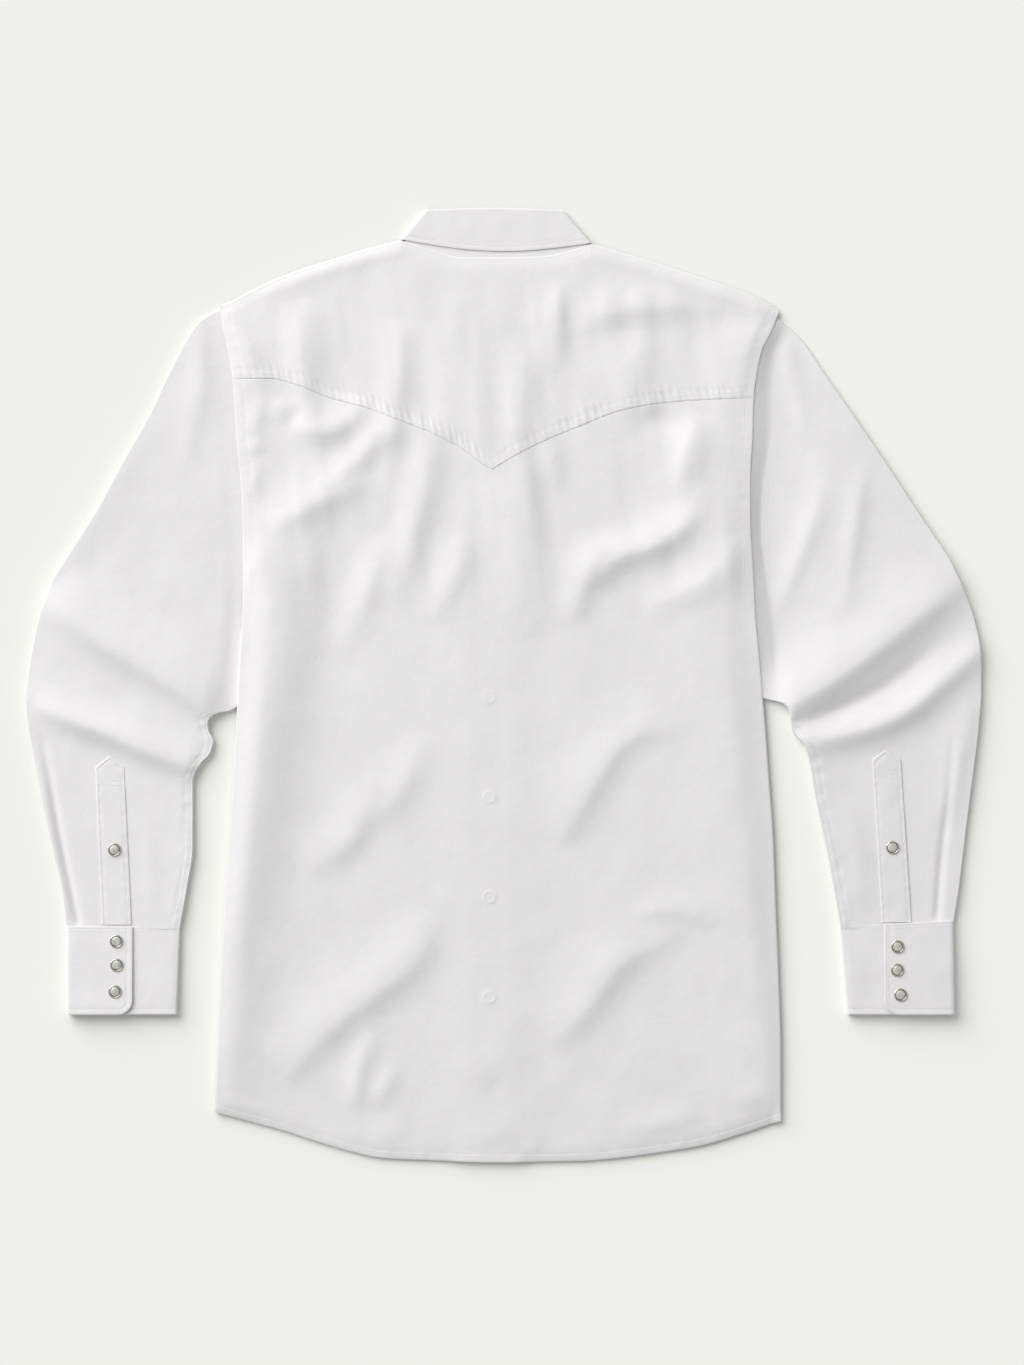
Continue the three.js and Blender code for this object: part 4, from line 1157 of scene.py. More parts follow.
@dataclass
class CollarBand:
    """A band folded flat round the neck, from one centre front round the back to the other.

    Tops and fronts are drafting points for each hand. The callables give the band's lower points:
    of a front half from its hand and a share, and of the back from a share.
    """

    plan: Plan
    name: str
    turn: float
    top: dict[Hand, tuple[float, float]]
    front_top: dict[Hand, tuple[float, float]]
    top_rise: float
    front_lift: dict[Hand, float]
    rows: Array
    front: Callable[[Hand, float], Array]
    back: Callable[[float], Array]
    cloth: float = 0.9
    centre: float = 3.05
    sag: float = 7.0

    def half(self, hand: Hand) -> list[tuple]:
        """Columns of a front half: head, foot, height and outward way, from the side inwards."""
        start = np.array(self.top[hand])
        out = []
        for t in edge_share(34):
            head = start + (np.array(self.front_top[hand]) - start) * t
            head = head - np.array([0, self.sag * math.sin(math.pi * t)])
            lift = self.front_lift[hand] * float(soft_step(0.5, 0.85, t))
            out.append((head, self.front(hand, t), self.centre - self.turn + lift, (0.0, -1.0)))
        return out

    def side(self, hand: Hand) -> list[tuple]:
        """Columns round the fold at one side, from below upwards."""
        foot = self.back(0.0 if hand is Hand.LEFT else 1.0)
        out = []
        for angle in np.radians(np.linspace(-75, 75, 7)):
            across, up = hand.way * math.cos(angle), math.sin(angle)
            shift = np.array([hand.way * 0.55 * self.turn * (math.cos(angle) - 0.3), 0])
            head = np.array(self.top[hand]) + shift
            out.append((head, foot + shift, self.centre + self.turn * up, (across, up)))
        return out

    def middle(self) -> list[tuple]:
        """Columns of the back, from left to right."""
        left, right = (np.array(self.top[hand]) for hand in Hand)
        out = []
        for t in np.linspace(0.012, 0.988, 64):
            head = left * (1 - t) + right * t + np.array([0, self.top_rise * math.sin(math.pi * t)])
            out.append((head, self.back(t), self.centre + self.turn, (0.0, 1.0)))
        return out

    def build(self) -> Piece:
        """Builds the band."""
        rows = self.rows
        columns = self.half(Hand.LEFT)[::-1] + self.side(Hand.LEFT) + self.middle()
        columns += self.side(Hand.RIGHT)[::-1] + self.half(Hand.RIGHT)
        grid = np.zeros((len(rows), len(columns), 3))
        for j, (head, foot, z, out) in enumerate(columns):
            xy = head[None, :] * (1 - rows[:, None]) + foot[None, :] * rows[:, None]
            length = float(np.hypot(*(foot - head)))
            from_low = (1 - rows) * length
            roll = -0.9 * (1 - rounded(rows * length, 1.0)) - 0.2 * (1 - rounded(from_low, 0.7))
            groove = -0.16 * bell(from_low - 5.5, 0.9)
            wave = 0.3 * max(out[1], 0) * CLOTH.middle.at(xy[:, 0], xy[:, 1]) * np.sin(np.pi * rows)
            off = self.cloth / 2 + roll + groove + wave
            grid[:, j] = np.stack([xy[:, 0] + out[0] * off, xy[:, 1], z + out[1] * off], -1)
        grid = facing_up(grid, len(rows) // 2, len(columns) // 2)
        return make_shell(self.name, self.plan, grid, self.cloth)


@dataclass
class Collar:
    """Turned-down collar and its stand: two bands round the neck, folded flat."""

    plan: Plan

    def leaf(self) -> Piece:
        """Builds the leaf, whose two points lie on the table under the body."""
        edge = {Hand.LEFT: np.array([-95, 414.3]), Hand.RIGHT: np.array([80.5, 410.9])}
        tip = {Hand.LEFT: np.array([-62, 300]), Hand.RIGHT: np.array([35, 300])}
        near = [0, 0.01, 0.03, 0.06]

        def back(t: float) -> Array:
            """Lower point of the back, on the leaf's sagging edge."""
            sag = np.array([0, LEAF_SAG * math.sin(math.pi * t)])
            return edge[Hand.LEFT] * (1 - t) + edge[Hand.RIGHT] * t - sag

        return CollarBand(
            plan=self.plan,
            name="collar_leaf_cloth",
            turn=2.4,
            top={Hand.LEFT: (-71.5, 442), Hand.RIGHT: (54, 441.5)},
            front_top={Hand.LEFT: (-20, 375), Hand.RIGHT: (-7, 375)},
            top_rise=2,
            front_lift={Hand.LEFT: 0.0, Hand.RIGHT: 0.0},
            rows=np.concatenate([near, np.linspace(0.1, 0.86, 12), [0.92, 0.96, 0.985, 1]]),
            front=lambda hand, t: edge[hand] + (tip[hand] - edge[hand]) * t,
            back=back,
        ).build()

    def stand(self) -> Piece:
        """Builds the stand between the neck seam and the leaf."""
        seam = {Hand.LEFT: -92.5, Hand.RIGHT: 78}
        end = {Hand.LEFT: 4.0, Hand.RIGHT: -31.0}
        turn = 1.1
        low = CollarBand.centre - turn - CollarBand.cloth / 2

        def front(hand: Hand, t: float) -> Array:
            """Lower point of a front half, on the front neck seam."""
            x = seam[hand] + (end[hand] - seam[hand]) * t
            return np.array([x, float(OUTLINE.curve(OUTLINE.front_neck, x)) + 2])

        def back(t: float) -> Array:
            """Lower point of the back, on the back neck seam."""
            x = seam[Hand.LEFT] * (1 - t) + seam[Hand.RIGHT] * t
            return np.array([x, float(OUTLINE.shoulder(x)) - 1.2])

        return CollarBand(
            plan=self.plan,
            name="collar_stand_cloth",
            turn=turn,
            top={Hand.LEFT: (-70, 440), Hand.RIGHT: (52.5, 439.5)},
            front_top={Hand.LEFT: (4, 375), Hand.RIGHT: (-31, 375)},
            top_rise=1.8,
            front_lift={Hand.LEFT: 1.8 - low, Hand.RIGHT: 3.2 - low},
            rows=np.concatenate([[0, 0.02, 0.06], np.linspace(0.14, 0.86, 7), [0.94, 0.98, 1]]),
            front=front,
            back=back,
        ).build()


@dataclass(frozen=True)
class Arm:
    """Sizes of one sleeve, its placket and its cuff."""

    rings: tuple
    creases: list
    placket_sizes: tuple
    cuff_sizes: dict

    def sleeve(self, plan: Plan, hand: Hand) -> Sleeve:
        """The sleeve on its side of the picture."""
        return Sleeve(plan, hand, self.rings, self.creases)

    def placket(self, plan: Plan, hand: Hand) -> SleevePlacket:
        """The placket of that sleeve."""
        return SleevePlacket(plan, hand, *self.placket_sizes)

    def cuff(self, plan: Plan, hand: Hand) -> Cuff:
        """The cuff of that sleeve."""
        return Cuff(plan, hand, **self.cuff_sizes)


ARMS = {
    Hand.LEFT: Arm(
        rings=(
            (-236, 81, -260, 352, 7, 4.0), (-236, 59, -283, 339, 5, 4.2), (-235, 33, -306, 301, 2, 4.6),
            (-236, 9, -329, 253, 0, 5), (-240, -7, -357, 203, 0, 5.2), (-246, -18, -380, 161, 0, 5.4),
            (-255, -24, -404, 123, 0, 5.8), (-265, -26, -422, 93, 0, 6), (-272, -30, -433, 60, 0, 6.2),
            (-275, -36, -441, 21, 0, 6.2), (-274, -43, -445, -14, 0, 6.2), (-270, -51, -443, -36, 0, 6.2),
            (-273, -63, -439, -60, 0, 6), (-282, -73, -435, -80, 0, 6), (-289, -90, -431, -102, 0, 6),
            (-289, -118, -425, -130, 0, 6), (-289, -150, -418, -160, 0, 6),
            (-294, -186, -411, -192, 0, 6.4), (-301.5, -227, -406.6, -227, 0, 6.6),
        ),
        creases=[
            Crease(
                ((206, 320, 0), (202, 345, 1.2), (201, 385, 1.6), (189, 440, 1), (180, 480, 0)), 11, 13,
            ),
            Crease(((150, 418, 0), (128, 455, 1.5), (104, 500, 1.7), (76, 548, 1.2)), 16, 10),
            Crease(
                ((47, 590, 3), (66, 612, 7.6), (100, 640, 9), (150, 670, 8.5), (188, 694, 6.8),
                 (214, 712, 3.7)), 30, 15,
            ),
            Crease(
                ((34, 700, 2.4), (55, 712, 6.1), (84, 724, 8.1), (116, 736, 8.1), (146, 750, 7.3),
                 (184, 764, 4.9), (198, 768, 1.2)), 17, 12,
            ),
            Crease(
                ((43, 740, -0.7), (52, 790, -1.8), (62, 845, -2), (72, 892, -2),
                 (78, 921, -1.7)), 3.5, 4,
            ),
            Crease(((36, 745, 0), (46, 800, 1.2), (56, 850, 1.2), (68, 910, 1)), 5, 8),
            Crease(((142, 800, 0), (150, 840, 1.1), (152, 890, 1), (150, 922, 0.5)), 12, 12),
        ],
        placket_sizes=((-369, -66), (-380, -353, -76), (-374, -346, -222.6), (-362, -153)),
        cuff_sizes=dict(
            outer=(-407, -406), inner=(-301, -304), lap_edge=-345, top_outer=-224, top_inner=-224,
            snaps=((-360, -238), (-359.5, -260), (-361, -284.5)),
        ),
    ),
    Hand.RIGHT: Arm(
        rings=(
            (227, 81, 252, 344, 18, 2.2), (226, 59, 275, 324, 11, 2.5), (226, 33, 299, 289, 5, 3.2),
            (229, 9, 324, 253, 0, 4.2), (235, -6, 350, 215, 0, 5.0), (243, -13, 373, 180, 0, 5.4),
            (252, -15, 396, 145, 0, 5.8), (260, -18, 415, 116, 0, 6), (265, -25, 429, 86, 0, 6.2),
            (266, -32, 439, 56, 0, 6.2), (267, -39, 444, 25, 0, 6.2), (272, -48, 444, -7, 0, 6.2),
            (279, -57, 442, -34, 0, 6), (284, -74, 439, -62, 0, 6), (288, -98, 435, -93, 0, 6),
            (294, -127, 431, -125, 0, 6), (301, -160, 427, -158, 0, 6), (307, -193, 423, -190, 0, 6.4),
            (312.5, -227, 417.8, -221.8, 0, 6.6),
        ),
        creases=[
            Crease(((784, 330, 0), (786, 355, 1.5), (803, 415, 1.2), (812, 450, 0)), 11, 9),
            Crease(((822, 470, 0), (818, 505, 1.8), (800, 555, 2.2), (785, 598, 1.2)), 11, 11),
            Crease(((866, 455, 0), (860, 490, 1.7), (853, 540, 2.2), (845, 600, 1.2)), 10, 11),
            Crease(
                ((768, 712, 3.7), (790, 703, 6.1), (820, 687, 8.1), (855, 664, 8.5), (892, 636, 8.3),
                 (930, 606, 6.7), (962, 580, 3.7)), 34, 17,
            ),
            Crease(
                ((796, 724, -1), (822, 716, -2), (852, 704, -2.7), (882, 689, -2.7), (910, 668, -2),
                 (938, 645, -0.7)), 8, 8,
            ),
            Crease(
                ((792, 744, 2.4), (816, 741, 4.4), (852, 733, 6.1), (888, 721, 6.6), (916, 704, 6.6),
                 (944, 680, 5.6), (976, 652, 3.7)), 14, 13,
            ),
            Crease(((970, 712, 1.2), (962, 745, 1.7), (952, 790, 1.5), (946, 830, 0)), 10, 14),
            Crease(((952, 742, -0.5), (948, 800, -1.3), (941, 860, -1.7), (937, 915, -1.7)), 4, 3.5),
            Crease(((846, 790, 0), (856, 840, 1.1), (862, 890, 0.9)), 11, 11),
        ],
        placket_sizes=((354, -60), (342, 369, -69), (351, 379, -220.4), (361, -151)),
        cuff_sizes=dict(
            outer=(418, 419), inner=(312, 319), lap_edge=353, top_outer=-218.6, top_inner=-224,
            snaps=((365.5, -243), (365, -264.5), (368, -287.5)),
        ),
    ),
}


@dataclass
class Fronts:
    """The two fronts and the closing band, which face the table."""

    plan: Plan
    cloth: float = 0.6
    band: tuple[float, float] = (-31.0, 4.0)
    band_cloth: float = 0.7
    band_level: float = 1.8
    band_inset: float = 2.6
    layer: float = 1.4

    def front_neck(self, x: Array) -> Array:
        """Front neck seam, or the shoulder outside it."""
        left, right = OUTLINE.neck_ends
        inside = (x > left) & (x < right)
        return np.where(inside, OUTLINE.curve(OUTLINE.front_neck, x), OUTLINE.shoulder(x))

    def side(self, hand: Hand, y: Array) -> Array:
        """Outer edge of a front, clear of the sleeve that lies beside it."""
        if hand is Hand.LEFT:
            edge = OUTLINE.left(y) + 1.5
            clear = np.maximum(edge, OUTLINE.curve(OUTLINE.left_cap, y) + 1.2)
        else:
            edge = OUTLINE.right(y) - 1.5
            clear = np.minimum(edge, OUTLINE.curve(OUTLINE.right_cap, y) - 1.2)
        return clear + (edge - clear) * soft_step(-29, -41, y)

    def build_front(self, hand: Hand) -> Piece:
        """Builds one front.

        Args:
            hand: the side on which it lies.

        Returns:
            Its cloth.
        """
        closing = self.band[1] if hand is Hand.LEFT else self.band[0]
        level = self.band_level + self.layer * (1 if hand is Hand.LEFT else 2)
        near = np.array([0, 0.6, 1.5, 3, 5]) / 260
        low = [0, 0.001, 0.003, 0.006, 0.01]
        u = np.concatenate([near, np.linspace(0.03, 0.97, 90), 1 - near[::-1]])[None, :]
        v = np.concatenate([low, np.linspace(0.015, 0.99, 150), [0.996, 1]])[:, None]
        x = closing * 0.5 + 0 * u * v
        for _ in range(OUTLINE.rounds):
            y = (OUTLINE.hem(x) + 2.6) * (1 - v) + (self.front_neck(x) - 1.5) * v
            edge = self.side(hand, y)
            x = edge + (closing - edge) * u
        rise = soft_step(-49, -33, x) * (1 - soft_step(6, 22, x))
        under_collar = soft_step(-128, -106, x) * soft_step(112, 90, x) * soft_step(272, 292, y)
        base = np.maximum(level * rise, 1.4 * under_collar)
        calm = 1 - np.clip(rise + under_collar, 0, 1)
        swell = 0.5 * calm * (0.5 + 0.5 * CLOTH.broad.at(x + 300, y + 100))
        swell = swell + 0.08 * calm * CLOTH.middle.at(x, y)
        outside = np.abs(x - self.side(hand, y))
        turn_up = 1.1 * (1 - rounded(outside, 6.0)) * soft_step(-20, -50, y)
        z = base + 0.15 + np.maximum(swell, 0) + turn_up + self.cloth
        grid = np.stack([x, y, z], -1)
        if hand is Hand.RIGHT:
            grid = grid[:, ::-1]
        return make_shell(f"{hand.value}_front_cloth", self.plan, grid, self.cloth)

    def build_band(self) -> Piece:
        """Builds the closing band that carries the snaps."""
        left, right = self.band
        width = right - left
        across = edge_steps(width, FINE.band, 2.0) / width
        v = np.concatenate([[0, 0.001, 0.003], np.linspace(0.006, 0.994, 200), [0.998, 1]])[:, None]
        x = left + width * across[None, :] + 0 * v
        y = (OUTLINE.hem(x) + 2.2) * (1 - v) + (self.front_neck(x) - 1.5) * v
        edge = np.minimum(x - left, right - x)
        z = self.band_level + 0.75 - 0.1 * bell(edge - self.band_inset, 0.8)
        grid = np.stack([x, y, z], -1)
        return make_shell("front_placket_cloth", self.plan, grid, self.band_cloth)


@dataclass(frozen=True)
class StitchSizes:
    """Sizes of a lockstitch row, in millimetres."""

    pitch: float = 3.0
    length: float = 2.35
    thread: float = 0.36
    arch: float = 0.2


class Board:
    """Adds and joins the nodes of one tree."""

    def __init__(self, tree: bpy.types.NodeTree) -> None:
        """Takes the tree.

        Args:
            tree: where the nodes go.
        """
        self.tree = tree

    def add(self, kind: str, inputs: dict | None = None, **settings: object) -> bpy.types.Node:
        """Adds a node.

        Args:
            kind: the node's type.
            inputs: by name or number, the output that feeds an input or its plain value.
            settings: properties of the node.

        Returns:
            The new node.
        """
        node = self.tree.nodes.new(kind)
        for key, value in settings.items():
            setattr(node, key, value)
        for key, value in (inputs or {}).items():
            self.feed(node, key, value)
        return node

    def feed(self, node: bpy.types.Node, key: int | str, value: object) -> None:
        """Joins an output to a node's input, or gives the input a plain value."""
        if isinstance(value, Socket):
            self.tree.links.new(value, node.inputs[key])
        else:
            node.inputs[key].default_value = value

    def math(self, operation: str, *values: object) -> Socket:
        """Adds a sum with numbers or outputs and gives its result."""
        return self.add("ShaderNodeMath", dict(enumerate(values)), operation=operation).outputs[0]


class Stitching:
    """Rows of stitches, repeated along seam lines by Geometry Nodes."""

    def __init__(self, plan: Plan, thread: bpy.types.Material, sizes: StitchSizes) -> None:
        """Builds the node tree once.

        Args:
            plan: turns drafting millimetres into metres.
            thread: the thread's finish.
            sizes: sizes of the stitches.
        """
        self.plan = plan
        self.values = {
            "Pitch": sizes.pitch,
            "Stitch length": sizes.length,
            "Thread width": sizes.thread,
            "Arch": sizes.arch,
        }
        self.tree = self.build_tree(thread)

    def build_tree(self, thread: bpy.types.Material) -> bpy.types.NodeTree:
        """Builds the tree that sets an arched stitch at every pitch of a path.

        Args:
            thread: the thread's finish.

        Returns:
            The tree, whose inputs are the path, the pitch, the stitch's length, width and arch.
        """
        tree = bpy.data.node_groups.new("lockstitch_row", "GeometryNodeTree")
        face = tree.interface
        face.new_socket("Path", in_out="INPUT", socket_type="NodeSocketGeometry")
        for name in self.values:
            face.new_socket(name, in_out="INPUT", socket_type="NodeSocketFloat")
        face.new_socket("Stitches", in_out="OUTPUT", socket_type="NodeSocketGeometry")
        n = Board(tree)
        start = n.add("NodeGroupInput").outputs
        curve = n.add("GeometryNodeMeshToCurve", {0: start["Path"]})
        run = {"Curve": curve.outputs[0], "Length": start["Pitch"]}
        spaced = n.add("GeometryNodeResampleCurve", run, mode="LENGTH")
        tangent = n.add("GeometryNodeInputTangent").outputs[0]
        align = "FunctionNodeAlignRotationToVector"
        turn = n.add(align, {"Vector": tangent}, axis="X", pivot_axis="Z").outputs[0]
        tilt = n.add(align, {"Rotation": turn, "Vector": tangent}, axis="X", pivot_axis="AUTO")
        half = n.math("MULTIPLY", start["Stitch length"], 0.5)
        sunk = n.math("MULTIPLY", start["Thread width"], -0.5)
        arc = n.add("GeometryNodeCurveQuadraticBezier", {"Resolution": 4})
        places = {
            "Start": {"X": n.math("MULTIPLY", half, -1.0), "Z": sunk},
            "Middle": {"Z": start["Arch"]},
            "End": {"X": half, "Z": sunk},
        }
        for name, place in places.items():
            n.feed(arc, name, n.add("ShaderNodeCombineXYZ", place).outputs[0])
        radius = n.math("MULTIPLY", start["Thread width"], 0.5)
        ring = n.add("GeometryNodeCurvePrimitiveCircle", {"Resolution": 5, "Radius": radius})
        tube = n.add(
            "GeometryNodeCurveToMesh",
            {"Curve": arc.outputs[0], "Profile Curve": ring.outputs[0], "Fill Caps": True},
        )
        each = n.add(
            "GeometryNodeInstanceOnPoints",
            {"Points": spaced.outputs[0], "Instance": tube.outputs[0], "Rotation": tilt.outputs[0]},
        )
        real = n.add("GeometryNodeRealizeInstances", {0: each.outputs[0]})
        smooth = n.add("GeometryNodeSetShadeSmooth", {0: real.outputs[0]})
        dressed = n.add("GeometryNodeSetMaterial", {0: smooth.outputs[0], "Material": thread})
        n.add("NodeGroupOutput", {0: dressed.outputs[0]})
        return tree

    def sew(self, name: str, lines: list[Array]) -> Piece:
        """Sews rows of stitches.

        Args:
            name: the piece's name.
            lines: points of each row in drafting millimetres, on the cloth's surface.

        Returns:
            The stitches as one plain mesh.
        """
        points = []
        edges = []
        for line in lines:
            first = len(points)
            points.extend(self.plan.metres(line).tolist())
            edges.extend((first + k, first + k + 1) for k in range(len(line) - 1))
        path = bpy.data.meshes.new(name + "_path")
        path.from_pydata(points, edges, [])
        guide = add_object(name + "_path", path)
        modifier = guide.modifiers.new("stitches", "NODES")
        modifier.node_group = self.tree
        for item in self.tree.interface.items_tree:
            if item.in_out == "INPUT" and item.name in self.values:
                modifier[item.identifier] = self.values[item.name] * MILLIMETRE
        graph = bpy.context.evaluated_depsgraph_get()
        mesh = bpy.data.meshes.new_from_object(guide.evaluated_get(graph), depsgraph=graph)
        mesh.name = name
        bpy.data.objects.remove(guide)
        return add_object(name, mesh)


@dataclass
class SeamLines:
    """Where the rows of stitches run on the laid shirt."""

    ground: Ground
    lift: float = 0.1
    step: float = 1.8

    def on(self, x: Array, y: Array) -> Array:
        """Points of a row on the surface under it."""
        return np.stack([x, y, self.ground.height(x, y) + self.lift], -1)

    def straight(self, *points: tuple[float, float]) -> Array:
        """Row along straight runs between corners."""
        runs = []
        for (ax, ay), (bx, by) in zip(points, points[1:]):
            count = max(int(math.hypot(bx - ax, by - ay) / self.step), 2)
            t = np.linspace(0, 1, count + 1)[:-1]
            runs.append(np.stack([ax + (bx - ax) * t, ay + (by - ay) * t], -1))
        runs.append(np.array([points[-1]], float))
        row = np.vstack(runs)
        return self.on(row[:, 0], row[:, 1])

    def yoke(self) -> list[Array]:
        """Two rows along the yoke's pointed edge."""
        rows = []
        for inset in (1.5, 8.6):
            for low, high in ((-243.0, OUTLINE.point_x), (OUTLINE.point_x, 229.0)):
                x = np.linspace(low, high, 150)
                y = OUTLINE.yoke(x)
                slope = np.gradient(y, x)
                y = y + inset * np.sqrt(1 + slope * slope)
                keep = (x > OUTLINE.left(y) + 2) & (x < OUTLINE.right(y) - 2)
                rows.append(self.on(x[keep], y[keep]))
        return rows

    def armholes(self) -> list[Array]:
        """A row inside each armhole."""
        y = np.linspace(84, 349, 150)
        sides = (OUTLINE.left(y) + Body.seam_inset, OUTLINE.right(y) - Body.seam_inset)
        return [self.on(x, np.minimum(y, OUTLINE.shoulder(x) - 2)) for x in sides]

    def shoulders(self) -> list[Array]:
        """A row below each shoulder line and round the neck."""
        rows = []
        for low, high, inset in ((-256, -97, 3.2), (-93, 79, 2.2), (83, 250, 3.2)):
            x = np.linspace(low, high, 110)
            rows.append(self.on(x, OUTLINE.shoulder(x) - inset))
        return rows

    def hem(self) -> list[Array]:
        """A row along the hem."""
        x = np.linspace(-267, 256, 300)
        y = OUTLINE.hem(x) + 5.9
        keep = (x > OUTLINE.left(y) + 1) & (x < OUTLINE.right(y) - 1)
        return [self.on(x[keep], y[keep])]

    def placket(self, placket: SleevePlacket) -> list[Array]:
        """A row round a sleeve placket, and two across it."""
        inset = 2.1
        top = placket.top[2]
        low = placket.end[2] + 1

        def corners(y: float) -> tuple[float, float]:
            """Left and right place of the row in line with this y."""
            left, right = placket.edges(y)
            return left + inset, right - inset

        rows = [
            self.straight(
                (corners(low)[0], low), (corners(top)[0], top - 1),
                (placket.apex[0], placket.apex[1] - inset * 1.5),
                (corners(top)[1], top - 1), (corners(low)[1], low),
            )
        ]
        for drop in placket.box_drops:
            left, right = corners(top - drop)
            rows.append(self.straight((left, top - drop), (right, top - drop)))
        return rows

    def cuff(self, cuff: Cuff) -> list[Array]:
        """Rows round a cuff's lap, along its lower edge and under its top seam."""
        side = cuff.hand.way
        lap = cuff.lap_edge
        rows = []
        for inset in (1.6, 6.2):
            low = cuff.bottom + inset
            corner = cuff.corner - inset
            turn = []
            for way in np.radians(np.linspace(0, 90, 9)):
                x = lap + side * (inset + corner * (1 - math.cos(way)))
                turn.append((x, low + corner * (1 - math.sin(way))))
            start = lap + side * inset
            outer = cuff.outer[1] - side * 3.0
            inner = cuff.inner[1] + side * 3.0
            rows.append(self.straight((start, -227.5), (start, turn[0][1] + 1), *turn, (outer, low)))
            rows.append(self.straight((lap - side * 1.5, low), (inner, low)))
        for inset in (1.5, 4.4):
            low = cuff.top_inner - inset
            slope = cuff.top_outer - cuff.top_inner
            inner = (cuff.inner[0] + side * 2.5, low)
            outer = (cuff.outer[0] - side * 2.5, low + slope)
            rows.append(self.straight(inner, (lap - side * 1.2, low + slope * 0.4)))
            rows.append(self.straight((lap + side * 1.5, low + slope * 0.42), outer))
        return rows

    def felled(self, sleeve: Sleeve) -> list[Array]:
        """Two rows along the felled seam on a sleeve's inner edge, below the armhole."""
        table = np.array(sleeve.rings[7:], float)
        run = run_along(table[:, :2])
        at = np.linspace(0, run[-1] - 2, 160)
        x = smooth_curve(run, table[:, 0], at)
        y = smooth_curve(run, table[:, 1], at)
        return [self.on(x + sleeve.hand.way * inset, y) for inset in sleeve.stitch_insets]

    def collar(self) -> list[Array]:
        """A row along the collar's lower edge."""
        t = np.linspace(0.02, 0.98, 90)
        x = -95 + 175.5 * t
        y = 414.3 - 3.4 * t - LEAF_SAG * np.sin(np.pi * t) + 5.5
        return [self.on(x, y)]

    @staticmethod
    def closing_band(fronts: Fronts) -> list[Array]:
        """A row along each edge of the closing band, on its face to the table."""
        y = np.linspace(-440, 342, 260)
        level = np.full(len(y), fronts.band_level - 0.02)
        sides = (fronts.band[0] + fronts.band_inset, fronts.band[1] - fronts.band_inset)
        return [np.stack([np.full(len(y), x), y, level], -1) for x in sides]


RIM_PROFILE = (
    (0, 0), (5.3, 0), (5.85, 0.15), (6.1, 0.5), (6.12, 0.95), (6.0, 1.35), (5.75, 1.65), (5.4, 1.78),
    (5.05, 1.7), (4.8, 1.45), (4.68, 1.15), (4.62, 0.85), (4.5, 0.72), (0, 0.7),
)
PEARL_PROFILE = (
    (0, 1.0), (4.35, 1.0), (4.42, 1.15), (4.4, 1.45), (4.25, 1.7), (3.95, 1.92), (3.4, 2.14),
    (2.6, 2.32), (1.7, 2.43), (0.8, 2.49), (0, 2.5),
)


@dataclass
class Snap:
    """Pearl snap: a round metal rim and a domed pearl cap, turned from their profiles."""

    plan: Plan
    name: str
    place: Triple
    sides: int = 48

    def turned(self, name: str, profile: Points) -> Piece:
        """Turns a closed profile round the snap's upright axis.

        Args:
            name: the part's name.
            profile: radius and height of each point, from the foot of the axis to its top.

        Returns:
            The new part.
        """
        sides = self.sides
        angles = np.linspace(0, 2 * np.pi, sides, endpoint=False)
        ring = np.stack([np.cos(angles), np.sin(angles)], -1)
        rows = [np.column_stack([ring * radius, np.full(sides, z)]) for radius, z in profile[1:-1]]
        ends = [[0, 0, profile[0][1]], [0, 0, profile[-1][1]]]
        points = np.vstack([*rows, ends]) + np.array(self.place)
        foot = len(points) - 2
        last = (len(rows) - 1) * sides
        caps = [[foot, (k + 1) % sides, k] for k in range(sides)]
        caps += [[foot + 1, last + k, last + (k + 1) % sides] for k in range(sides)]
        mesh = bpy.data.meshes.new(name)
        faces = quads(len(rows), sides, True).tolist() + caps
        mesh.from_pydata(self.plan.metres(points).tolist(), [], faces)
        shade_smooth(mesh, METAL_SHARP)
        return add_object(name, mesh)

    def build(self) -> tuple[Piece, Piece]:
        """Builds the rim and the pearl."""
        rim = self.turned(f"{self.name}_rim_ring", RIM_PROFILE)
        return rim, self.turned(f"{self.name}_pearl_cap", PEARL_PROFILE)


class Nodes(Board):
    """A material's shader nodes, with ramps, bumps and the place on the piece."""

    def __init__(self, name: str) -> None:
        """Starts a material with a plain shader.

        Args:
            name: the material's name.
        """
        self.material = bpy.data.materials.new(name)
        self.material.use_nodes = True
        super().__init__(self.material.node_tree)
        self.tree.nodes.clear()
        self.shader = self.add("ShaderNodeBsdfPrincipled")
        self.add("ShaderNodeOutputMaterial", {0: self.shader.outputs[0]})
        self.place = self.add("ShaderNodeTexCoord").outputs["Object"]

    def noise(self, scale: float, detail: float, **more: float) -> Socket:
        """Adds noise at this place on the piece and gives its value."""
        values = {"Vector": self.place, "Scale": scale, "Detail": detail}
        values.update({key.capitalize(): value for key, value in more.items()})
        return self.add("ShaderNodeTexNoise", values).outputs[0]

    def ramp(self, source: Socket, *stops: tuple[float, tuple]) -> Socket:
        """Adds a colour ramp.

        Args:
            source: the output that drives it.
            stops: position and colour of each stop.

        Returns:
            The ramp's colour.
        """
        node = self.add("ShaderNodeValToRGB", {0: source})
        elements = node.color_ramp.elements
        while len(elements) < len(stops):
            elements.new(0.5)
        for element, (position, colour) in zip(elements, stops):
            element.position = position
            element.color = (*colour, 1)
        return node.outputs[0]

    def bump(self, source: Socket, strength: float, distance: float, before: Socket = None) -> Socket:
        """Adds a bump from a height, after another bump if one is given."""
        values = {"Strength": strength, "Distance": distance, "Height": source}
        if before is not None:
            values["Normal"] = before
        return self.add("ShaderNodeBump", values).outputs[0]

    def finish(self, values: dict) -> bpy.types.Material:
        """Feeds the shader's inputs and gives the finished material."""
        for key, value in values.items():
            self.feed(self.shader, key, value)
        return self.material


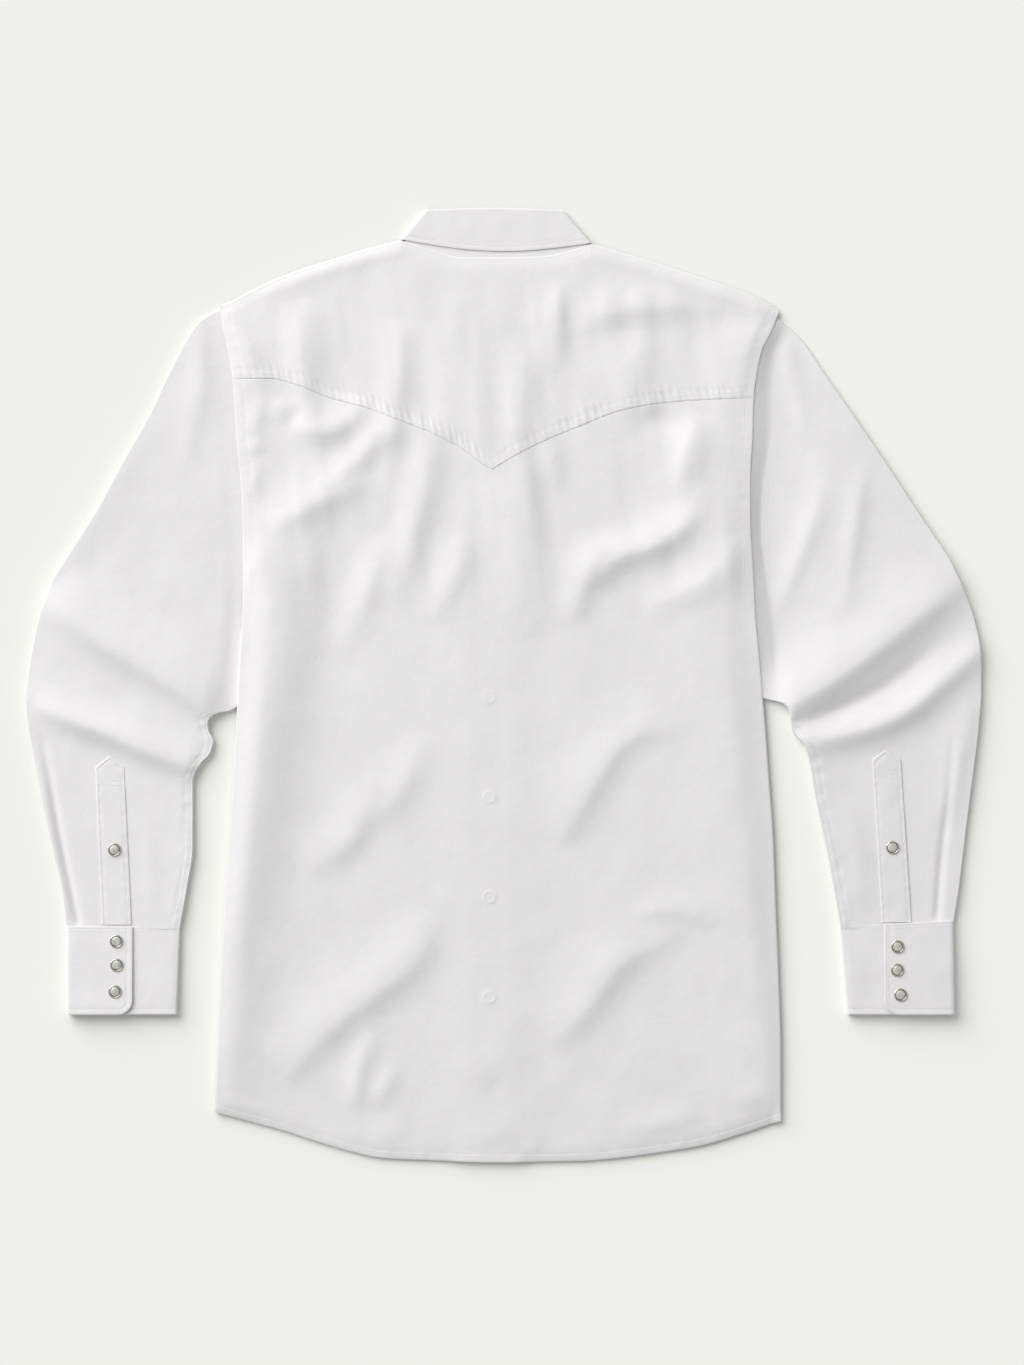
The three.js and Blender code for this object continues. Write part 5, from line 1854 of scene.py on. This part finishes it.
@dataclass(frozen=True)
class TwillFinish:
    """White cotton twill: fine diagonal ribs, slubs and the faint crumple of worn cotton.

    The rib is its spacing in metres. Snap place and pitch say where the front snaps lie beneath.
    """

    snap_place: tuple[float, float]
    name: str = "white_twill"
    light: Triple = (0.772, 0.756, 0.757)
    shade: Triple = (0.748, 0.732, 0.736)
    rib: float = 0.00065
    crumple: float = 0.27
    snap_pitch: float = 0.093

    def snap_marks(self, n: Nodes) -> Socket:
        """Draws faint rings where the front snaps press through the back, within the lower back."""
        apart = n.add("ShaderNodeSeparateXYZ", {0: n.place}).outputs
        across = n.math("SUBTRACT", apart["X"], self.snap_place[0])
        along = n.math("SUBTRACT", apart["Y"], self.snap_place[1])
        folded = n.math("WRAP", along, self.snap_pitch / 2, -self.snap_pitch / 2)
        flat = n.add("ShaderNodeCombineXYZ", {"X": across, "Y": folded}).outputs[0]
        gap = n.add("ShaderNodeVectorMath", {0: flat}, operation="LENGTH").outputs["Value"]
        greys = ((0.0, 0.45), (0.3, 0.4), (0.52, 1.0), (0.66, 0.35), (0.85, 0.0))
        share = n.math("MULTIPLY", gap, 100.0)
        ring = n.ramp(share, *((position, (grey,) * 3) for position, grey in greys))
        kept = ring
        for low, high in ((0.05, -0.17), (-0.42, -0.4)):
            values = {"From Min": low, "From Max": high, "Value": along}
            kept = n.math("MULTIPLY", kept, n.add("ShaderNodeMapRange", values).outputs[0])
        return kept

    def build(self) -> bpy.types.Material:
        """Builds the cloth's material."""
        n = Nodes(self.name)
        weave = n.add("ShaderNodeUVMap", uv_map="weave").outputs[0]
        rib = n.add(
            "ShaderNodeTexWave",
            {
                "Vector": weave, "Scale": 0.628 / self.rib, "Distortion": 0.6, "Detail": 1.0,
                "Detail Scale": 0.4,
            },
            bands_direction="DIAGONAL",
        )
        slub = n.add("ShaderNodeTexNoise", {"Vector": weave, "Scale": 900, "Detail": 2.0}).outputs[0]
        tone = n.ramp(n.noise(34, 3.0, roughness=0.55), (0.3, self.shade), (0.7, self.light))
        fleck = n.ramp(slub, (0.25, (0.965, 0.965, 0.97)), (0.75, (1, 1, 1)))
        colours = {"Factor": 1.0, "A": tone, "B": fleck}
        mix = n.add("ShaderNodeMix", colours, data_type="RGBA", blend_type="MULTIPLY")
        soft = n.bump(n.noise(95, 4.0, roughness=0.6, distortion=0.3), self.crumple, 0.0011)
        grain = n.bump(slub, 0.15, 0.0002, soft)
        ribbed = n.bump(rib.outputs[1], 0.25, 0.00012, grain)
        return n.finish({
            "Base Color": mix.outputs["Result"],
            "Normal": n.bump(self.snap_marks(n), 0.55, 0.0005, ribbed),
            "Roughness": 0.9,
            "Sheen Weight": 0.12,
            "Sheen Roughness": 0.5,
        })


@dataclass(frozen=True)
class ThreadFinish:
    """White sewing thread: two plies twisted together."""

    name: str = "sewing_thread"

    def build(self) -> bpy.types.Material:
        """Builds the thread's material."""
        n = Nodes(self.name)
        values = {"Vector": n.place, "Scale": 1400.0, "Distortion": 0.4}
        ply = n.add("ShaderNodeTexWave", values, bands_direction="DIAGONAL").outputs
        return n.finish({
            "Base Color": n.ramp(ply[0], (0.2, (0.78, 0.775, 0.775)), (0.8, (0.88, 0.875, 0.875))),
            "Normal": n.bump(ply[1], 0.4, 0.0001),
            "Roughness": 0.62,
        })


@dataclass(frozen=True)
class RimFinish:
    """Warm silver-coloured snap metal, a little brushed and worn."""

    name: str = "snap_metal"

    def build(self) -> bpy.types.Material:
        """Builds the metal."""
        n = Nodes(self.name)
        brush = n.noise(1800.0, 3.0)
        return n.finish({
            "Base Color": n.ramp(brush, (0.3, (0.5, 0.465, 0.4)), (0.7, (0.68, 0.64, 0.57))),
            "Roughness": n.ramp(brush, (0.3, (0.18,) * 3), (0.7, (0.32,) * 3)),
            "Normal": n.bump(brush, 0.2, 0.00008),
            "Metallic": 1.0,
        })


@dataclass(frozen=True)
class PearlFinish:
    """Imitation pearl: creamy and clouded, with faint swirls under a clear gloss."""

    name: str = "pearl"
    dark: Triple = (0.36, 0.345, 0.32)
    middle: Triple = (0.52, 0.505, 0.48)
    light: Triple = (0.7, 0.69, 0.67)

    def build(self) -> bpy.types.Material:
        """Builds the pearl."""
        n = Nodes(self.name)
        cloud = n.noise(260.0, 3.0, distortion=1.6)
        return n.finish({
            "Base Color": n.ramp(cloud, (0.3, self.dark), (0.55, self.middle), (0.75, self.light)),
            "Roughness": 0.22,
            "Coat Weight": 0.6,
            "Coat Roughness": 0.06,
            "Subsurface Weight": 0.0,
            "Specular IOR Level": 0.6,
        })


@dataclass(frozen=True)
class FloorFinish:
    """Plain pale floor, toned so that it reads even under the lamp's fall-off."""

    lamp: Triple
    fill: float
    key: float
    name: str = "pale_floor"
    colour: Triple = (0.832, 0.838, 0.80)
    fall_off: float = -2.0

    def build(self) -> bpy.types.Material:
        """Builds the floor's material."""
        n = Nodes(self.name)
        away = n.add("ShaderNodeVectorMath", {0: n.place, 1: self.lamp}, operation="DISTANCE")
        reach = math.sqrt(sum(c * c for c in self.lamp))
        share = n.math("DIVIDE", away.outputs["Value"], reach)
        key = self.key * self.lamp[2] / reach / math.pi
        total = key + self.fill
        lamp = n.math("POWER", share, self.fall_off)
        lit = n.math("MULTIPLY_ADD", lamp, key / total, self.fill / total)
        even = n.add("ShaderNodeVectorMath", {0: self.colour, 1: lit}, operation="DIVIDE")
        return n.finish({"Base Color": even.outputs[0], "Roughness": 0.95, "Specular IOR Level": 0.1})


@dataclass
class Studio:
    """Overhead camera, one large soft lamp from the upper left, even fill and a pale floor."""

    lens: float = 80.0
    sensor: float = 36.0
    camera_place: Triple = (0.0079, 0.0025, 2.826)
    lamp_place: Triple = (-4.15, 4.15, 3.95)
    lamp_size: float = 7.4
    key: float = 4.18
    fill: float = 0.46
    fill_colour: tuple[float, float, float, float] = (0.985, 0.99, 1.0, 1)
    floor_half: float = 4.0

    def build_camera(self) -> None:
        """Hangs the camera over the shirt."""
        data = bpy.data.cameras.new("overhead_camera")
        data.lens = self.lens
        data.sensor_width = self.sensor
        camera = add_object("overhead_camera", data)
        camera.location = self.camera_place
        bpy.context.scene.camera = camera

    def build_light(self) -> None:
        """Sets up the lamp, turned to the shirt, and the fill from all sides."""
        place = Vector(self.lamp_place)
        lamp = bpy.data.lights.new("window_light", "AREA")
        lamp.shape = "DISK"
        lamp.size = self.lamp_size
        lamp.energy = self.key * math.pi * place.length_squared
        light = add_object("window_light", lamp)
        light.location = place
        light.rotation_mode = "QUATERNION"
        light.rotation_quaternion = place.to_track_quat("Z", "Y")
        world = bpy.data.worlds.new("studio_fill")
        world.use_nodes = True
        background = world.node_tree.nodes["Background"]
        background.inputs["Color"].default_value = self.fill_colour
        background.inputs["Strength"].default_value = self.fill
        bpy.context.scene.world = world
        bpy.context.scene.view_settings.view_transform = "Standard"

    def build(self) -> None:
        """Sets up the camera, the lights and the floor."""
        self.build_camera()
        self.build_light()
        side = self.floor_half
        corners = [(-side, -side, 0), (side, -side, 0), (side, side, 0), (-side, side, 0)]
        mesh = bpy.data.meshes.new("floor")
        mesh.from_pydata(corners, [], [(0, 1, 2, 3)])
        floor = add_object("floor", mesh)
        mesh.materials.append(FloorFinish(self.lamp_place, self.fill, self.key).build())


@dataclass(frozen=True)
class Cut:
    """Size of a cloth piece when it was cut, in metres and square metres, and what it lies on."""

    width: float
    length: float
    area: float
    lies_on: tuple[str, ...] = ()


@dataclass
class Shirt:
    """The whole shirt: builds its pieces, dresses them and ties them to the frame."""

    plan: Plan
    finishes: dict[str, bpy.types.Material] = field(default_factory=dict)
    rows: dict[str, list[Array]] = field(default_factory=dict)

    @staticmethod
    def tie(piece: Piece, slot: str) -> None:
        """Ties a piece to the shirt's one body and logs its number of faces."""
        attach(piece, "root")
        LOG.info("%s: %d faces", piece.name, len(piece.data.polygons))

    def dress(self, piece: Piece, slot: str, node: str) -> None:
        """Gives a piece its finish and lets it stand for its CAD node.

        Args:
            piece: the finished piece.
            slot: the record's slot of its finish.
            node: the CAD node that it replaces.
        """
        piece.data.materials.append(self.finishes[slot])
        self.tie(piece, slot)
        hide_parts(node)

    def build_arm(self, hand: Hand) -> Piece:
        """Builds one sleeve."""
        sleeve = ARMS[hand].sleeve(self.plan, hand).build()
        self.dress(sleeve, "white_twill", f"{hand.value}_sleeve")
        return sleeve

    def build_end(self, hand: Hand, sleeve: Piece) -> None:
        """Builds the placket, the cuff and the snaps at a sleeve's end, and plans its stitches.

        Args:
            hand: the side on which the sleeve lies.
            sleeve: its cloth.
        """
        side = hand.value
        placket = ARMS[hand].placket(self.plan, hand)
        cuff = ARMS[hand].cuff(self.plan, hand)
        flap = placket.build(Ground(self.plan, [sleeve]))
        self.dress(flap, "white_twill", f"{side}_sleeve_placket")
        band = cuff.build()
        self.dress(band, "white_twill", f"{side}_cuff")
        ends = Ground(self.plan, [flap, band])
        names = [f"{side}_placket_snap"] + [f"{side}_cuff_snap_{k}" for k in (1, 2, 3)]
        for name, (x, y) in zip(names, [placket.snap, *cuff.snaps]):
            level = float(ends.height(np.array([x]), np.array([y]))[0]) - SNAP_SINK
            rim, cap = Snap(self.plan, name, (x, y, level)).build()
            self.dress(rim, "snap_metal", f"{name}_rim")
            self.dress(cap, "pearl", f"{name}_pearl")
        lines = SeamLines(Ground(self.plan, [sleeve, flap, band]))
        self.rows[f"{side}_placket_stitching"] = lines.placket(placket)
        self.rows[f"{side}_cuff_stitching"] = lines.cuff(cuff)
        self.rows[f"{side}_sleeve_stitching"] = lines.felled(ARMS[hand].sleeve(self.plan, hand))

    def build(self) -> None:
        """Builds every piece in order."""
        low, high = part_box("front_snap_4")
        place = ((low.x + high.x) / 2, (low.y + high.y) / 2)
        for finish in (TwillFinish(place), RimFinish(), PearlFinish()):
            self.finishes[finish.name] = finish.build()
        back, yoke = Body(self.plan).build()
        self.dress(back, "white_twill", "back_panel")
        self.dress(yoke, "white_twill", "back_yoke")
        sleeves = {hand: self.build_arm(hand) for hand in Hand}
        for hand, sleeve in sleeves.items():
            self.build_end(hand, sleeve)
        fronts = Fronts(self.plan)
        for hand in Hand:
            self.dress(fronts.build_front(hand), "white_twill", f"{hand.value}_front")
        self.dress(fronts.build_band(), "white_twill", "front_placket")
        leaf = Collar(self.plan).leaf()
        self.dress(leaf, "white_twill", "collar_leaf")
        self.dress(Collar(self.plan).stand(), "white_twill", "collar_stand")
        self.sew_seams(SeamLines(Ground(self.plan, [back, yoke, leaf])), fronts)
        for k in range(1, 9):
            materials = bpy.data.objects[f"front_snap_{k}"].data.materials
            materials.clear()
            materials.append(self.finishes["snap_metal"])

    def sew_seams(self, lines: SeamLines, fronts: Fronts) -> None:
        """Sews the rows of stitches of the body and of both sleeves.

        Args:
            lines: seam lines on the body and the collar.
            fronts: the fronts, whose closing band is stitched from below.
        """
        rows = {
            "yoke_stitching": lines.yoke(),
            "armhole_stitching": lines.armholes(),
            "shoulder_stitching": lines.shoulders(),
            "hem_stitching": lines.hem(),
            "collar_stitching": lines.collar(),
            "closing_band_stitching": lines.closing_band(fronts),
            **self.rows,
        }
        needle = Stitching(self.plan, ThreadFinish().build(), StitchSizes())
        for name, row in rows.items():
            self.tie(needle.sew(name, row), "white_twill")


def main() -> None:
    """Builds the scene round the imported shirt."""
    logging.basicConfig(level=logging.INFO, format="%(message)s")
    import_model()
    Studio().build()
    Shirt(Plan()).build()


if __name__ == "__main__":
    main()
